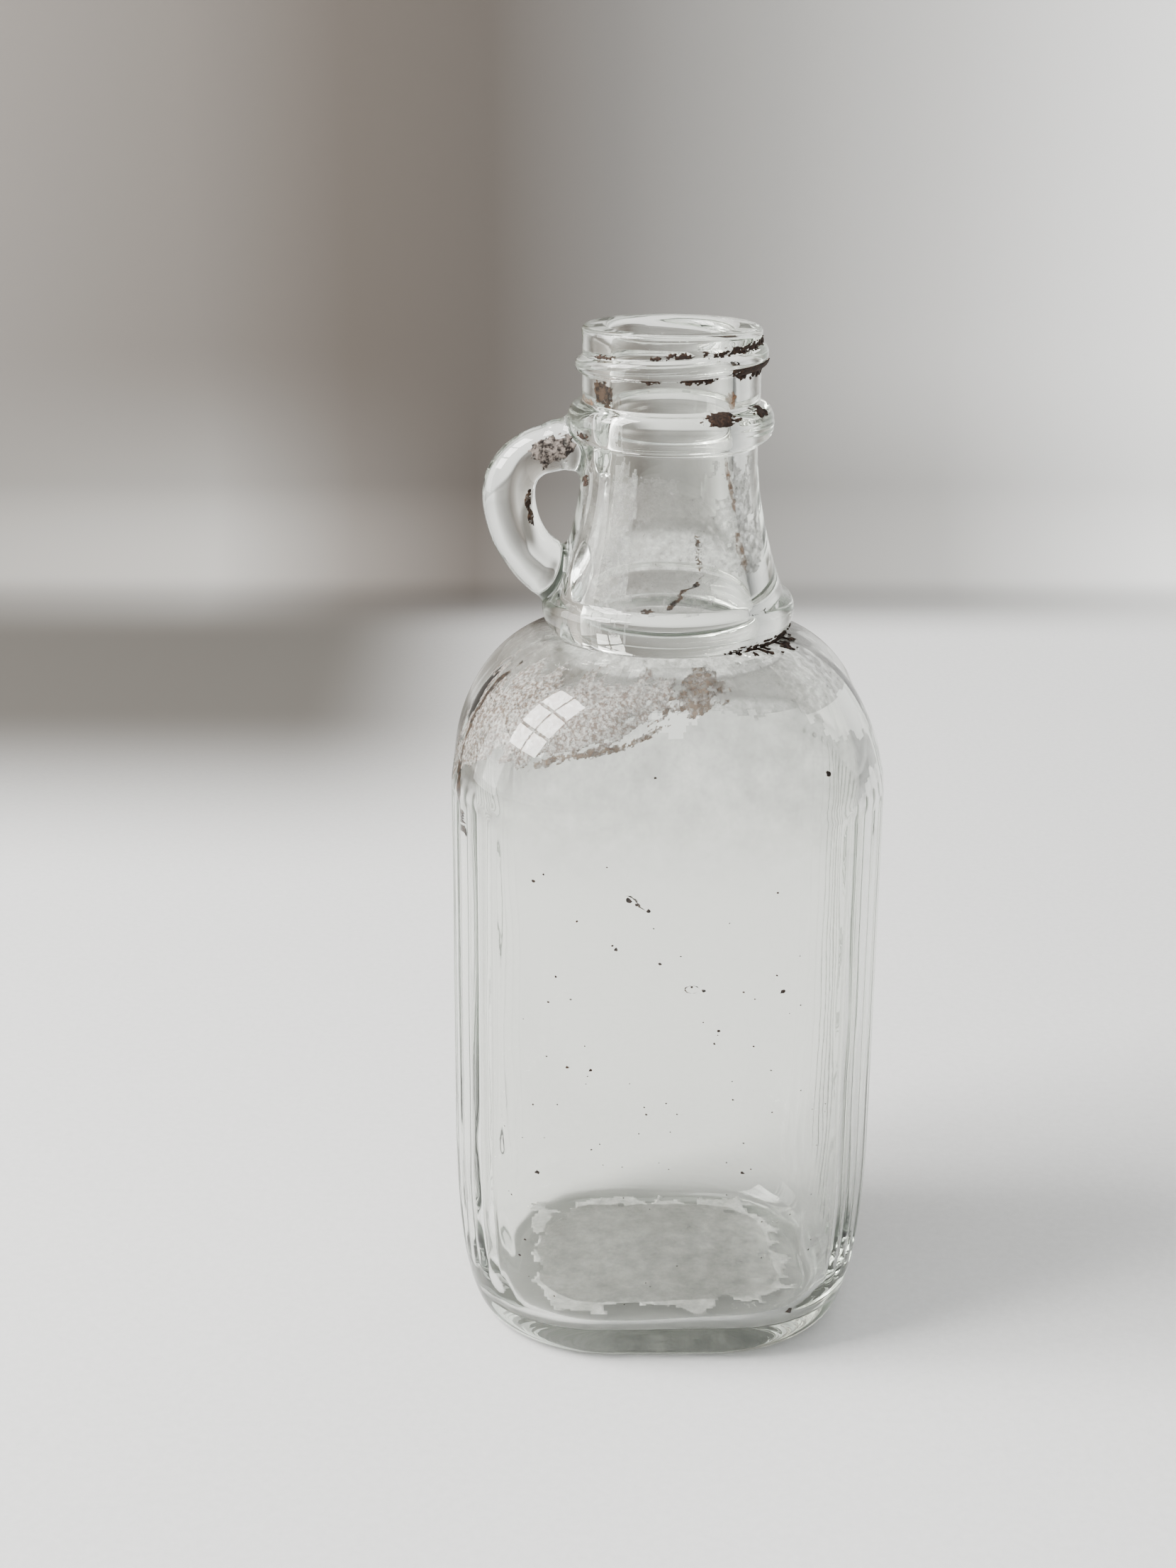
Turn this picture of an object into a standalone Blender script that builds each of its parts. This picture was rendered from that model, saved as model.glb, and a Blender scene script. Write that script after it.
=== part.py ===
"""Handled glass syrup bottle, about 8 fl oz, with a 28 mm screw finish and no cap.

The bottle stands on z = 0 with its axis on Z. The plain panels face -Y and +Y, the ribbed sides
face -X and +X, and the finger handle is on -X. The glass is divided at the creases that the mould
leaves, with a small gap between neighbours. Lengths are in metres.
"""

import math
import random

import bmesh
import bpy

# Heights of the creases, from the table up
HEIGHT = 0.1516
LIP_FOOT = 0.1496
BEAD_TOP = 0.1410
BEAD_FOOT = 0.1354
COLLAR_TOP = 0.1134
SHOULDER_TOP = 0.1076
SHOULDER_FOOT = 0.0860
HEEL_TOP = 0.0345
FLOOR_TOP = 0.0046

# Body section: a rounded rectangle
BODY_HALF_X = 0.0316
BODY_HALF_Y = 0.0284
BODY_CORNER = 0.0210
BASE_CORNER = 0.0185
HEEL_INSET = 0.0062
HEEL_POWER = 2.35
SHOULDER_POWER = 1.78
SHOULDER_TOP_R = 0.0166

# Glass thickness
WALL = 0.0026
FLOOR_FILLET_INSET = 0.0035
FLOOR_FILLET_TOP = 0.0140

# Finish and neck radii; the bore and the outside of the neck both flare as they come down
BORE_R = 0.0087
BORE_FLARE = 0.0058
BORE_POWER = 1.9
BARREL_R = 0.0127
BEAD_R = 0.0148
NECK_TOP_R = 0.0125
NECK_FLARE = 0.0044
NECK_POWER = 1.95
COLLAR_ROOT_R = 0.0168
COLLAR_R = 0.0184
BULGE_POWER = 0.8

# The lip's edges: radius and depth below the top outside, and the same beyond the bore inside
LIP_OUTSIDE = ((0.0113, 0.0), (0.0121, 0.0002), (0.0126, 0.0008), (0.0128, 0.0014))
LIP_INSIDE = ((0.0, 0.0013), (0.0004, 0.0004), (0.0011, 0.0))

# The thread's single ridge
THREAD_R = 0.0137
THREAD_PITCH = 0.0036
THREAD_TURNS = 1.06
THREAD_HALF_HEIGHT = 0.0013
THREAD_MEAN_Z = 0.1470
THREAD_STEPS = 40
THREAD_ROUND_STEPS = 6

# Side flutes: shallow reeds with a valley between neighbours
RIB_DEPTH = 0.0004
RIBS_PER_SIDE = 16
STEPS_PER_RIB = 4
LAST_VALLEY_SHARE = 0.4

# Finger handle
HANDLE_R = 0.0037

# Base underside
REST_RING_INSET = 0.0002
REST_RING_WIDTH = 0.0045
PUSH_UP_SLOPE = 0.0035
PUSH_UP = 0.0010

# Gap between neighbours, and how residue lies on the glass
GAP = 0.0003
HALF_GAP = GAP / 2
SKIN = 0.0004
CRUST_LIFT = GAP * 1.5

# Fineness
ROUND_STEPS = 40
CORNER_STEPS = 8
BULGE_STEPS = 8
SIDE_INNER_STEPS = 14
PANEL_CORNER_STEPS = 4
SHARP_ANGLE = 35.0


def clear_scene():
    for old in list(bpy.data.objects):
        bpy.data.objects.remove(old, do_unlink=True)


def new_collection(name):
    collection = bpy.data.collections.new(name)
    bpy.context.scene.collection.children.link(collection)
    return collection


def principled(name, colour, roughness, transmission=0.0):
    """A Principled material in one colour."""
    material = bpy.data.materials.new(name)
    material.use_nodes = True
    shader = material.node_tree.nodes["Principled BSDF"]
    shader.inputs["Base Color"].default_value = (*colour, 1.0)
    shader.inputs["Roughness"].default_value = roughness
    shader.inputs["Metallic"].default_value = 0.0
    shader.inputs["Transmission Weight"].default_value = transmission
    shader.inputs["IOR"].default_value = 1.52
    return material


def add_object(name, mesh, collection, material):
    mesh.materials.clear()
    mesh.materials.append(material)
    made = bpy.data.objects.new(name, mesh)
    collection.objects.link(made)
    mesh.shade_smooth()
    mesh.set_sharp_from_angle(angle=math.radians(SHARP_ANGLE))
    return made


def superellipse_drop(along, power):
    """1 at along = 0, falling to 0 at along = 1, on a superellipse."""
    return (1.0 - min(max(along, 0.0), 1.0) ** power) ** (1.0 / power)


def outer_section(z):
    """Half width, half depth and corner radius of the outside of the body at height z."""
    if z < HEEL_TOP:
        inset = HEEL_INSET * (1.0 - superellipse_drop(1.0 - z / HEEL_TOP, HEEL_POWER))
        corner = BODY_CORNER + (BASE_CORNER - BODY_CORNER) * inset / HEEL_INSET
        return BODY_HALF_X - inset, BODY_HALF_Y - inset, corner
    if z <= SHOULDER_FOOT:
        return BODY_HALF_X, BODY_HALF_Y, BODY_CORNER
    along = (z - SHOULDER_FOOT) / (SHOULDER_TOP - SHOULDER_FOOT)
    spread = superellipse_drop(along, SHOULDER_POWER)
    return tuple(
        SHOULDER_TOP_R + (size - SHOULDER_TOP_R) * spread
        for size in (BODY_HALF_X, BODY_HALF_Y, BODY_CORNER)
    )


def inner_section(z):
    """The same for the inside, with the fillet that joins the floor to the wall."""
    if z <= SHOULDER_FOOT:
        half_x, half_y, corner = outer_section(z)
        climb = (FLOOR_FILLET_TOP - z) / (FLOOR_FILLET_TOP - FLOOR_TOP)
        inset = WALL + FLOOR_FILLET_INSET * (1.0 - superellipse_drop(climb, 2.0))
        return half_x - inset, half_y - inset, corner - inset
    along = (z - SHOULDER_FOOT) / (SHOULDER_TOP - WALL * 0.6 - SHOULDER_FOOT)
    spread = superellipse_drop(along, SHOULDER_POWER)
    neck_bore = bore_radius(SHOULDER_TOP)
    return tuple(
        neck_bore + (size - WALL - neck_bore) * spread
        for size in (BODY_HALF_X, BODY_HALF_Y, BODY_CORNER)
    )


def neck_radius(z):
    """Outside of the neck: nearly straight under the bead, flaring to the collar."""
    down = (BEAD_FOOT - z) / (BEAD_FOOT - COLLAR_TOP)
    return NECK_TOP_R + NECK_FLARE * max(down, 0.0) ** NECK_POWER


def bore_radius(z):
    """Inside of the finish and neck, widening as it comes down."""
    down = (BEAD_TOP - z) / (BEAD_TOP - SHOULDER_TOP)
    return BORE_R + BORE_FLARE * max(down, 0.0) ** BORE_POWER


def rounded_rectangle(half_x, half_y, corner):
    """Points of a rounded rectangle, counter-clockwise from above, starting on the +X side."""
    corner = min(corner, half_x - 0.0001, half_y - 0.0001)
    points = []
    for quarter, (side_x, side_y) in enumerate(((1, 1), (-1, 1), (-1, -1), (1, -1))):
        for step in range(CORNER_STEPS + 1):
            angle = math.radians(90.0 * (quarter + step / CORNER_STEPS))
            points.append((
                side_x * (half_x - corner) + corner * math.cos(angle),
                side_y * (half_y - corner) + corner * math.sin(angle),
            ))
    return points


def ring_verts(bm, section, z):
    return [bm.verts.new((x, y, z)) for x, y in rounded_rectangle(*section)]


def bridge(bm, upper, lower):
    """Faces between two rings of equal length, facing outwards when upper is the higher one."""
    count = len(upper)
    for i in range(count):
        j = (i + 1) % count
        bm.faces.new((lower[i], lower[j], upper[j], upper[i]))


def lofted_shell(name, heights, collection, material):
    """A wall between the body's outside and inside, over the given heights."""
    bm = bmesh.new()
    outer = [ring_verts(bm, outer_section(z), z) for z in heights]
    inner = [ring_verts(bm, inner_section(z), z) for z in heights]
    for k in range(len(heights) - 1):
        bridge(bm, outer[k + 1], outer[k])
        bridge(bm, inner[k], inner[k + 1])
    bridge(bm, inner[-1], outer[-1])
    bridge(bm, outer[0], inner[0])
    mesh = bpy.data.meshes.new(name)
    bm.to_mesh(mesh)
    bm.free()
    return add_object(name, mesh, collection, material)


def turned(name, profile, collection, material, closed=True):
    """A turned shape from (radius, z) points that run down the outer side and back up."""
    mesh = bpy.data.meshes.new(name)
    count = len(profile)
    edges = [(i, i + 1) for i in range(count - 1)]
    if closed:
        edges.append((count - 1, 0))
    mesh.from_pydata([(radius, 0.0, z) for radius, z in profile], edges, [])
    made = add_object(name, mesh, collection, material)
    screw = made.modifiers.new("Turn", "SCREW")
    screw.axis = "Z"
    screw.steps = ROUND_STEPS
    screw.render_steps = ROUND_STEPS
    screw.use_merge_vertices = True
    screw.merge_threshold = 0.00001
    return made


def spaced(low, high, count):
    return [low + (high - low) * i / (count - 1) for i in range(count)]


def neck_ring(name, outer_profile, collection, material, inner_levels=4):
    """A ring of glass: outer_profile runs from top to bottom, and the bore closes it."""
    top = outer_profile[0][1]
    foot = outer_profile[-1][1]
    bore = [(bore_radius(z), z) for z in spaced(foot, top, inner_levels)]
    return turned(name, outer_profile + bore, collection, material)


def round_bulge(radius_in, radius_out, top, foot):
    """Half-round bead profile from top to foot."""
    middle = (top + foot) / 2
    half = (top - foot) / 2
    points = []
    for i in range(BULGE_STEPS + 1):
        angle = math.radians(90.0 - 180.0 * i / BULGE_STEPS)
        reach = max(math.cos(angle), 0.0) ** BULGE_POWER
        points.append((radius_in + (radius_out - radius_in) * reach, middle + half * math.sin(angle)))
    return points


def sealing_lip(collection, glass):
    foot = LIP_FOOT + HALF_GAP
    outside = [(radius, HEIGHT - below) for radius, below in LIP_OUTSIDE]
    outside.append((LIP_OUTSIDE[-1][0], foot))
    inside = [(BORE_R, foot)]
    inside += [(BORE_R + beyond, HEIGHT - below) for beyond, below in LIP_INSIDE]
    turned("sealing_lip", outside + inside, collection, glass)


def finish_wall(collection, glass):
    outer = [(BARREL_R, LIP_FOOT - HALF_GAP), (BARREL_R, BEAD_TOP + HALF_GAP)]
    neck_ring("finish_wall", outer, collection, glass, inner_levels=2)


def screw_thread(collection, glass):
    """One ridge that climbs counter-clockwise (right-handed) and fades out at both ends."""
    inner_r = BARREL_R + GAP
    bm = bmesh.new()
    rings = []
    for i in range(THREAD_STEPS + 1):
        along = i / THREAD_STEPS
        turn = (along - 0.5) * THREAD_TURNS * math.tau
        fade = min(1.0, 0.25 + min(along, 1.0 - along) * 10.0)
        centre_z = THREAD_MEAN_Z + THREAD_PITCH * turn / math.tau
        around = math.radians(-90.0) + turn
        ring = []
        for k in range(THREAD_ROUND_STEPS + 1):
            swing = math.radians(-90.0 + 180.0 * k / THREAD_ROUND_STEPS)
            radius = inner_r + (THREAD_R - inner_r) * fade * math.cos(swing)
            z = centre_z + THREAD_HALF_HEIGHT * fade * math.sin(swing)
            ring.append(bm.verts.new((radius * math.cos(around), radius * math.sin(around), z)))
        rings.append(ring)
    for first, second in zip(rings, rings[1:]):
        bridge(bm, second, first)
    bm.faces.new(rings[0])
    bm.faces.new(reversed(rings[-1]))
    bmesh.ops.recalc_face_normals(bm, faces=bm.faces)
    mesh = bpy.data.meshes.new("screw_thread")
    bm.to_mesh(mesh)
    bm.free()
    add_object("screw_thread", mesh, collection, glass)


def transfer_bead(collection, glass):
    outer = round_bulge(BARREL_R, BEAD_R, BEAD_TOP - HALF_GAP, BEAD_FOOT + HALF_GAP)
    neck_ring("transfer_bead", outer, collection, glass, inner_levels=2)


def neck(collection, glass):
    levels = spaced(BEAD_FOOT - HALF_GAP, COLLAR_TOP + HALF_GAP, 8)
    outer = [(neck_radius(z), z) for z in levels]
    neck_ring("neck", outer, collection, glass, inner_levels=6)


def neck_collar(collection, glass):
    outer = round_bulge(COLLAR_ROOT_R, COLLAR_R, COLLAR_TOP - HALF_GAP, SHOULDER_TOP + HALF_GAP)
    neck_ring("neck_collar", outer, collection, glass, inner_levels=3)


def handle_stations():
    """(x, z, share of HANDLE_R) along the loop, from inside the bead round to the foot of the neck."""
    return [
        (-0.0100, 0.1343, 1.11), (-0.0126, 0.1346, 1.08), (-0.0151, 0.1347, 1.03),
        (-0.0173, 0.1341, 0.95), (-0.0194, 0.1334, 0.92), (-0.0214, 0.1319, 0.95),
        (-0.0227, 0.1298, 1.00), (-0.0231, 0.1274, 1.03), (-0.0228, 0.1248, 1.03),
        (-0.0220, 0.1222, 1.03), (-0.0207, 0.1199, 1.03), (-0.0192, 0.1181, 1.08),
        (-0.0176, 0.1168, 1.14), (-0.0158, 0.1156, 1.19), (-0.0132, 0.1146, 1.19),
    ]


def neck_envelope(cutters):
    """A solid a gap larger than the neck, bead and collar, which the handle is cut back from."""
    levels = spaced(BEAD_FOOT, COLLAR_TOP, 8)
    bead = round_bulge(BARREL_R, BEAD_R, BEAD_TOP, BEAD_FOOT)
    collar = round_bulge(COLLAR_ROOT_R, COLLAR_R, COLLAR_TOP, SHOULDER_TOP)
    outer = bead[:-1] + [(neck_radius(z), z) for z in levels[:-1]] + collar
    outer = [(radius + GAP, z) for radius, z in outer]
    profile = [(0.0, HEIGHT)] + [(outer[0][0], HEIGHT)] + outer
    profile += [(outer[-1][0], SHOULDER_FOOT), (0.0, SHOULDER_FOOT)]
    envelope = turned("neck_envelope", profile, cutters, principled("cutter", (0.5, 0.5, 0.5), 0.5),
                      closed=False)
    envelope.hide_render = True
    envelope.display_type = "WIRE"
    return envelope


def finger_handle(collection, cutters, glass):
    curve = bpy.data.curves.new("handle_line", "CURVE")
    curve.dimensions = "3D"
    curve.bevel_depth = HANDLE_R
    curve.bevel_resolution = 2
    curve.use_fill_caps = True
    stations = handle_stations()
    spline = curve.splines.new("POLY")
    spline.points.add(len(stations) - 1)
    for point, (x, z, thickness) in zip(spline.points, stations):
        point.co = (x, 0.0, z, 1.0)
        point.radius = thickness
    line = bpy.data.objects.new("handle_line", curve)
    collection.objects.link(line)
    graph = bpy.context.evaluated_depsgraph_get()
    mesh = bpy.data.meshes.new_from_object(line.evaluated_get(graph))
    bpy.data.objects.remove(line, do_unlink=True)
    bm = bmesh.new()
    bm.from_mesh(mesh)
    bmesh.ops.remove_doubles(bm, verts=bm.verts, dist=0.00001)
    bm.to_mesh(mesh)
    bm.free()
    handle = add_object("finger_handle", mesh, collection, glass)
    cut = handle.modifiers.new("Neck", "BOOLEAN")
    cut.operation = "DIFFERENCE"
    cut.object = neck_envelope(cutters)


def rib_depth(i):
    """How far step i of a fluted side lies behind its crests; the outermost valleys are shallow."""
    phase = i / STEPS_PER_RIB
    from_middle = abs(2.0 * phase / RIBS_PER_SIDE - 1.0)
    fading = 1.0 + (LAST_VALLEY_SHARE - 1.0) * from_middle ** 2
    return RIB_DEPTH * fading * (1.0 - abs(math.sin(math.pi * phase)))


def side_path(inset, ribs):
    """One fluted side, from the middle of one corner to the middle of the next, on +X."""
    corner = BODY_CORNER - inset
    centre_x = BODY_HALF_X - BODY_CORNER
    flat = BODY_HALF_Y - BODY_CORNER
    arc = corner * math.radians(45.0)
    length = 2 * (arc + flat)
    count = RIBS_PER_SIDE * STEPS_PER_RIB if ribs else SIDE_INNER_STEPS
    points = []
    for i in range(count + 1):
        run = HALF_GAP + (length - GAP) * i / count
        reach = corner - (rib_depth(i) if ribs else 0.0)
        if run < arc:
            angle = run / corner - math.radians(45.0)
            centre_y = -flat
        elif run > length - arc:
            angle = (run - length + arc) / corner
            centre_y = flat
        else:
            angle = 0.0
            centre_y = run - arc - flat
        points.append((centre_x + reach * math.cos(angle), centre_y + reach * math.sin(angle)))
    return points


def panel_path(inset):
    """One plain panel, from its left corner's middle to its right corner's middle, on -Y."""
    corner = BODY_CORNER - inset
    flat = BODY_HALF_X - BODY_CORNER
    trim = HALF_GAP / corner
    points = []
    for side, first, last in ((-1, -135.0, -90.0), (1, -90.0, -45.0)):
        for step in range(PANEL_CORNER_STEPS + 1):
            angle = math.radians(first + (last - first) * step / PANEL_CORNER_STEPS)
            angle = min(max(angle, math.radians(-135.0) + trim), math.radians(-45.0) - trim)
            points.append((side * flat + corner * math.cos(angle),
                           -(BODY_HALF_Y - BODY_CORNER) + corner * math.sin(angle)))
    return points


def extruded_wall(name, outer, inner, collection, material):
    """A flat outline between two paths, drawn out over the height of the straight body."""
    low = HEEL_TOP + HALF_GAP
    high = SHOULDER_FOOT - HALF_GAP
    curve = bpy.data.curves.new(name, "CURVE")
    curve.dimensions = "2D"
    curve.fill_mode = "BOTH"
    curve.extrude = (high - low) / 2
    points = outer + inner[::-1]
    spline = curve.splines.new("POLY")
    spline.points.add(len(points) - 1)
    for point, (x, y) in zip(spline.points, points):
        point.co = (x, y, 0.0, 1.0)
    spline.use_cyclic_u = True
    curve.materials.append(material)
    wall = bpy.data.objects.new(name, curve)
    collection.objects.link(wall)
    wall.location.z = (high + low) / 2
    return wall


def turned_about_axis(points):
    """The same points half a turn round the bottle's axis."""
    return [(-x, -y) for x, y in points]


def body_walls(collection, glass):
    panel_outer = panel_path(0.0)
    panel_inner = panel_path(WALL)
    side_outer = side_path(0.0, ribs=True)
    side_inner = side_path(WALL, ribs=False)
    extruded_wall("front_panel", panel_outer, panel_inner, collection, glass)
    extruded_wall("back_panel", turned_about_axis(panel_outer), turned_about_axis(panel_inner),
                  collection, glass)
    extruded_wall("ribbed_side_right", side_outer, side_inner, collection, glass)
    extruded_wall("ribbed_side_left", turned_about_axis(side_outer), turned_about_axis(side_inner),
                  collection, glass)


def shoulder(collection, glass):
    low = SHOULDER_FOOT + HALF_GAP
    high = SHOULDER_TOP - HALF_GAP
    heights = [low + (high - low) * math.sin(math.radians(90.0 * i / 8)) for i in range(9)]
    lofted_shell("shoulder", heights, collection, glass)


def heel(collection, glass):
    low = FLOOR_TOP + HALF_GAP
    high = HEEL_TOP - HALF_GAP
    heights = [low + (high - low) * (i / 7) ** 1.6 for i in range(8)]
    lofted_shell("heel", heights, collection, glass)


def base(collection, glass):
    """The thick floor, which stands on a flat ring round a shallow push-up."""
    bm = bmesh.new()
    top = FLOOR_TOP - HALF_GAP
    rings = [ring_verts(bm, outer_section(z), z) for z in (top, top * 0.55, top * 0.22, top * 0.05)]
    foot = outer_section(0.0)
    for inset, z in ((REST_RING_INSET, 0.0), (REST_RING_WIDTH, 0.0),
                     (REST_RING_WIDTH + PUSH_UP_SLOPE, PUSH_UP)):
        rings.append(ring_verts(bm, tuple(size - inset for size in foot), z))
    for upper, lower in zip(rings, rings[1:]):
        bridge(bm, upper, lower)
    bm.faces.new(rings[0])
    bm.faces.new(reversed(rings[-1]))
    mesh = bpy.data.meshes.new("base")
    bm.to_mesh(mesh)
    bm.free()
    add_object("base", mesh, collection, glass)


def thick_sheet(name, near, far, collection, material):
    """A thin closed plate between two grids of points that match, row by row."""
    bm = bmesh.new()
    near = [[bm.verts.new(point) for point in row] for row in near]
    far = [[bm.verts.new(point) for point in row] for row in far]
    for a, b, c, d in zip(near, near[1:], far, far[1:]):
        for i in range(len(a) - 1):
            bm.faces.new((a[i], a[i + 1], b[i + 1], b[i]))
            bm.faces.new((c[i], d[i], d[i + 1], c[i + 1]))
        bm.faces.new((a[0], b[0], d[0], c[0]))
        bm.faces.new((a[-1], c[-1], d[-1], b[-1]))
    for row, other in ((near[0], far[0]), (near[-1], far[-1])):
        for i in range(len(row) - 1):
            bm.faces.new((row[i], other[i], other[i + 1], row[i + 1]))
    bmesh.ops.recalc_face_normals(bm, faces=bm.faces)
    mesh = bpy.data.meshes.new(name)
    bm.to_mesh(mesh)
    bm.free()
    add_object(name, mesh, collection, material)


def ragged_edges(name, low, high, columns):
    """The lower and upper edge of a flake at each column, thinning towards both ends."""
    chance = random.Random(name)
    edges = []
    for i in range(columns + 1):
        taper = 0.35 + 0.65 * math.sin(math.pi * (i + 0.35) / (columns + 0.7))
        middle = low + (high - low) * (0.5 + 0.15 * (chance.random() - 0.5))
        half = (high - low) * 0.5 * taper * (0.7 + 0.3 * chance.random())
        edges.append((middle - half, middle + half))
    return edges


def flake(name, surface, angles, heights, collection, material, columns=6):
    """A ragged plate that hugs a turned wall. Angles in degrees run from the front towards +X."""
    near = []
    far = []
    for i, (low, high) in enumerate(ragged_edges(name, *heights, columns)):
        angle = math.radians(angles[0] + (angles[1] - angles[0]) * i / columns)
        for rows, lift in ((near, 0.0), (far, SKIN)):
            rows.append([
                ((surface(z) + lift) * math.sin(angle), -(surface(z) + lift) * math.cos(angle), z)
                for z in (low, (low + high) / 2, high)
            ])
    thick_sheet(name, near, far, collection, material)


def bulge_surface(z, inner_r, outer_r, top, foot):
    """Outside of a round bulge at height z, with the gap that a flake keeps."""
    rise = (z - (top + foot) / 2) / ((top - foot) / 2)
    reach = math.sqrt(max(1.0 - rise * rise, 0.0)) ** BULGE_POWER
    return inner_r + (outer_r - inner_r) * reach + CRUST_LIFT


def on_barrel(z):
    return BARREL_R + GAP


def on_bead(z):
    return bulge_surface(z, BARREL_R, BEAD_R, BEAD_TOP, BEAD_FOOT)


def on_collar(z):
    return bulge_surface(z, COLLAR_ROOT_R, COLLAR_R, COLLAR_TOP, SHOULDER_TOP)


def in_bore(z):
    return BORE_R - GAP - SKIN


def in_neck(z):
    return bore_radius(z) - CRUST_LIFT - SKIN


def rust_on_handle(collection, rust):
    """A crust on the front of the loop's top, next to the bead."""
    near = []
    far = []
    columns = 5
    left = -0.0192
    width = 0.0050
    centre_z = 0.1341
    for i, (low, high) in enumerate(ragged_edges("rust_on_handle", 0.1328, 0.1356, columns)):
        x = left + width * i / columns
        for rows, lift in ((near, CRUST_LIFT), (far, CRUST_LIFT + SKIN)):
            row = []
            for z in (low, (low + high) / 2, high):
                row.append((x, -math.sqrt(HANDLE_R ** 2 - (z - centre_z) ** 2) - lift, z))
            rows.append(row)
    thick_sheet("rust_on_handle", near, far, collection, rust)


def residue_in_shoulder(collection, scale):
    """A film of dried residue inside the front left of the shoulder."""
    first = 2 * (CORNER_STEPS + 1) + 1
    last = first + CORNER_STEPS
    grids = []
    for inset in (CRUST_LIFT, CRUST_LIFT + SKIN):
        rows = []
        for z in spaced(0.0910, 0.1010, 5):
            section = [size - inset for size in inner_section(z)]
            rows.append([(x, y, z) for x, y in rounded_rectangle(*section)[first:last + 1]])
        grids.append(rows)
    thick_sheet("residue_in_shoulder", *grids, collection, scale)


def residue(collection, rust, scale):
    """What the lost steel cap and the last filling left on the glass."""
    flake("rust_under_thread", on_barrel, (40, 76), (0.1444, 0.1459), collection, rust)
    flake("rust_fleck_front", on_barrel, (3, 26), (0.1450, 0.1456), collection, rust)
    flake("rust_on_bead_front", on_bead, (14, 34), (0.1396, 0.1408), collection, rust)
    flake("rust_on_bead_right", on_bead, (44, 57), (0.1399, 0.1408), collection, rust)
    flake("rust_under_collar", on_collar, (34, 78), (0.1081, 0.1098), collection, rust)
    flake("stain_in_bore", in_bore, (-80, -58), (0.1412, 0.1444), collection, scale)
    flake("rust_streak_in_neck", in_neck, (49, 57), (0.1180, 0.1340), collection, rust)
    rust_on_handle(collection, rust)
    residue_in_shoulder(collection, scale)


def build():
    clear_scene()
    bottle = new_collection("handled_syrup_bottle")
    cutters = new_collection("cutters")
    glass = principled("clear_glass", (0.86, 0.90, 0.88), 0.03, transmission=1.0)
    rust = principled("rust", (0.13, 0.085, 0.06), 0.9)
    scale = principled("dried_residue", (0.42, 0.33, 0.26), 0.85)
    sealing_lip(bottle, glass)
    finish_wall(bottle, glass)
    screw_thread(bottle, glass)
    transfer_bead(bottle, glass)
    neck(bottle, glass)
    finger_handle(bottle, cutters, glass)
    neck_collar(bottle, glass)
    shoulder(bottle, glass)
    body_walls(bottle, glass)
    heel(bottle, glass)
    base(bottle, glass)
    residue(bottle, rust, scale)


build()
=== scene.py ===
"""Looks of the handled glass syrup bottle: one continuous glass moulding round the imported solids.

Lengths are in metres. A place round the bottle is given in quarter turns from +X, counter-clockwise
from above, so 2 is the handle's side, 3 the front and 4 the right-hand side again.
"""

import math

import bmesh
import bpy
import numpy as np
from mathutils import Matrix, Vector, kdtree, noise


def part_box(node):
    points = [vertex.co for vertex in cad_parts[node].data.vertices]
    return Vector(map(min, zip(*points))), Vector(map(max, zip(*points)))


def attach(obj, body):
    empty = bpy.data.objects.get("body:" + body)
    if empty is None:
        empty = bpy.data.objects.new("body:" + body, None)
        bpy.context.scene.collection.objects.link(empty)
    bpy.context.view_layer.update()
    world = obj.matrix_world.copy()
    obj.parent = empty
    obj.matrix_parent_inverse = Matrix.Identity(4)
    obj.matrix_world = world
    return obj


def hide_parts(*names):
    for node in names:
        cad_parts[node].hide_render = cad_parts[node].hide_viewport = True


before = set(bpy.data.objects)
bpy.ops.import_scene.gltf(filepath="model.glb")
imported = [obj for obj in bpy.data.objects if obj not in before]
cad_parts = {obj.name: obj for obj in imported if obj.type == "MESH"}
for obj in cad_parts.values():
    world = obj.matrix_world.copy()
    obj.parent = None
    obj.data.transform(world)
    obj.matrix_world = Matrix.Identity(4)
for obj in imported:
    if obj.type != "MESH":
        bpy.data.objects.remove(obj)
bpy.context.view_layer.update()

# ---------------------------------------- sizes, read from the frame
HEEL_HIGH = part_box("heel")[1]
PANEL_LOW, PANEL_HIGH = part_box("front_panel")
SHOULDER_LOW, SHOULDER_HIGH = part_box("shoulder")
COLLAR_LOW, COLLAR_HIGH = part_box("neck_collar")
BEAD_LOW, BEAD_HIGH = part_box("transfer_bead")
BARREL_LOW, BARREL_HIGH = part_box("finish_wall")
THREAD_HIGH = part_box("screw_thread")[1]
LIP_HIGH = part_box("sealing_lip")[1]

HALF_X = HEEL_HIGH.x
HALF_Y = HEEL_HIGH.y
CORNER = 0.0210
HEIGHT = LIP_HIGH.z
HEEL_TOP = (HEEL_HIGH.z + PANEL_LOW.z) / 2
SHOULDER_FOOT = (PANEL_HIGH.z + SHOULDER_LOW.z) / 2
SHOULDER_TOP = (SHOULDER_HIGH.z + COLLAR_LOW.z) / 2
COLLAR_TOP = (COLLAR_HIGH.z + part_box("neck")[0].z) / 2
BEAD_FOOT = (BEAD_LOW.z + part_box("neck")[1].z) / 2
BEAD_TOP = (BEAD_HIGH.z + BARREL_LOW.z) / 2
BARREL_R = BARREL_HIGH.x
BEAD_R = BEAD_HIGH.x
COLLAR_R = COLLAR_HIGH.x
THREAD_R = THREAD_HIGH.x
NECK_TOP_R = 0.0125
NECK_FLARE = 0.0044
NECK_POWER = 1.95
SHOULDER_TOP_R = 0.0166
COLLAR_SKEW = 1.5
RING_POWER = 0.42

# Heel and shoulder curves, as in the solids
HEEL_INSET = 0.0062
HEEL_POWER = 2.35
BASE_CORNER = 0.0185
SHOULDER_POWER = 1.78

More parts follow.
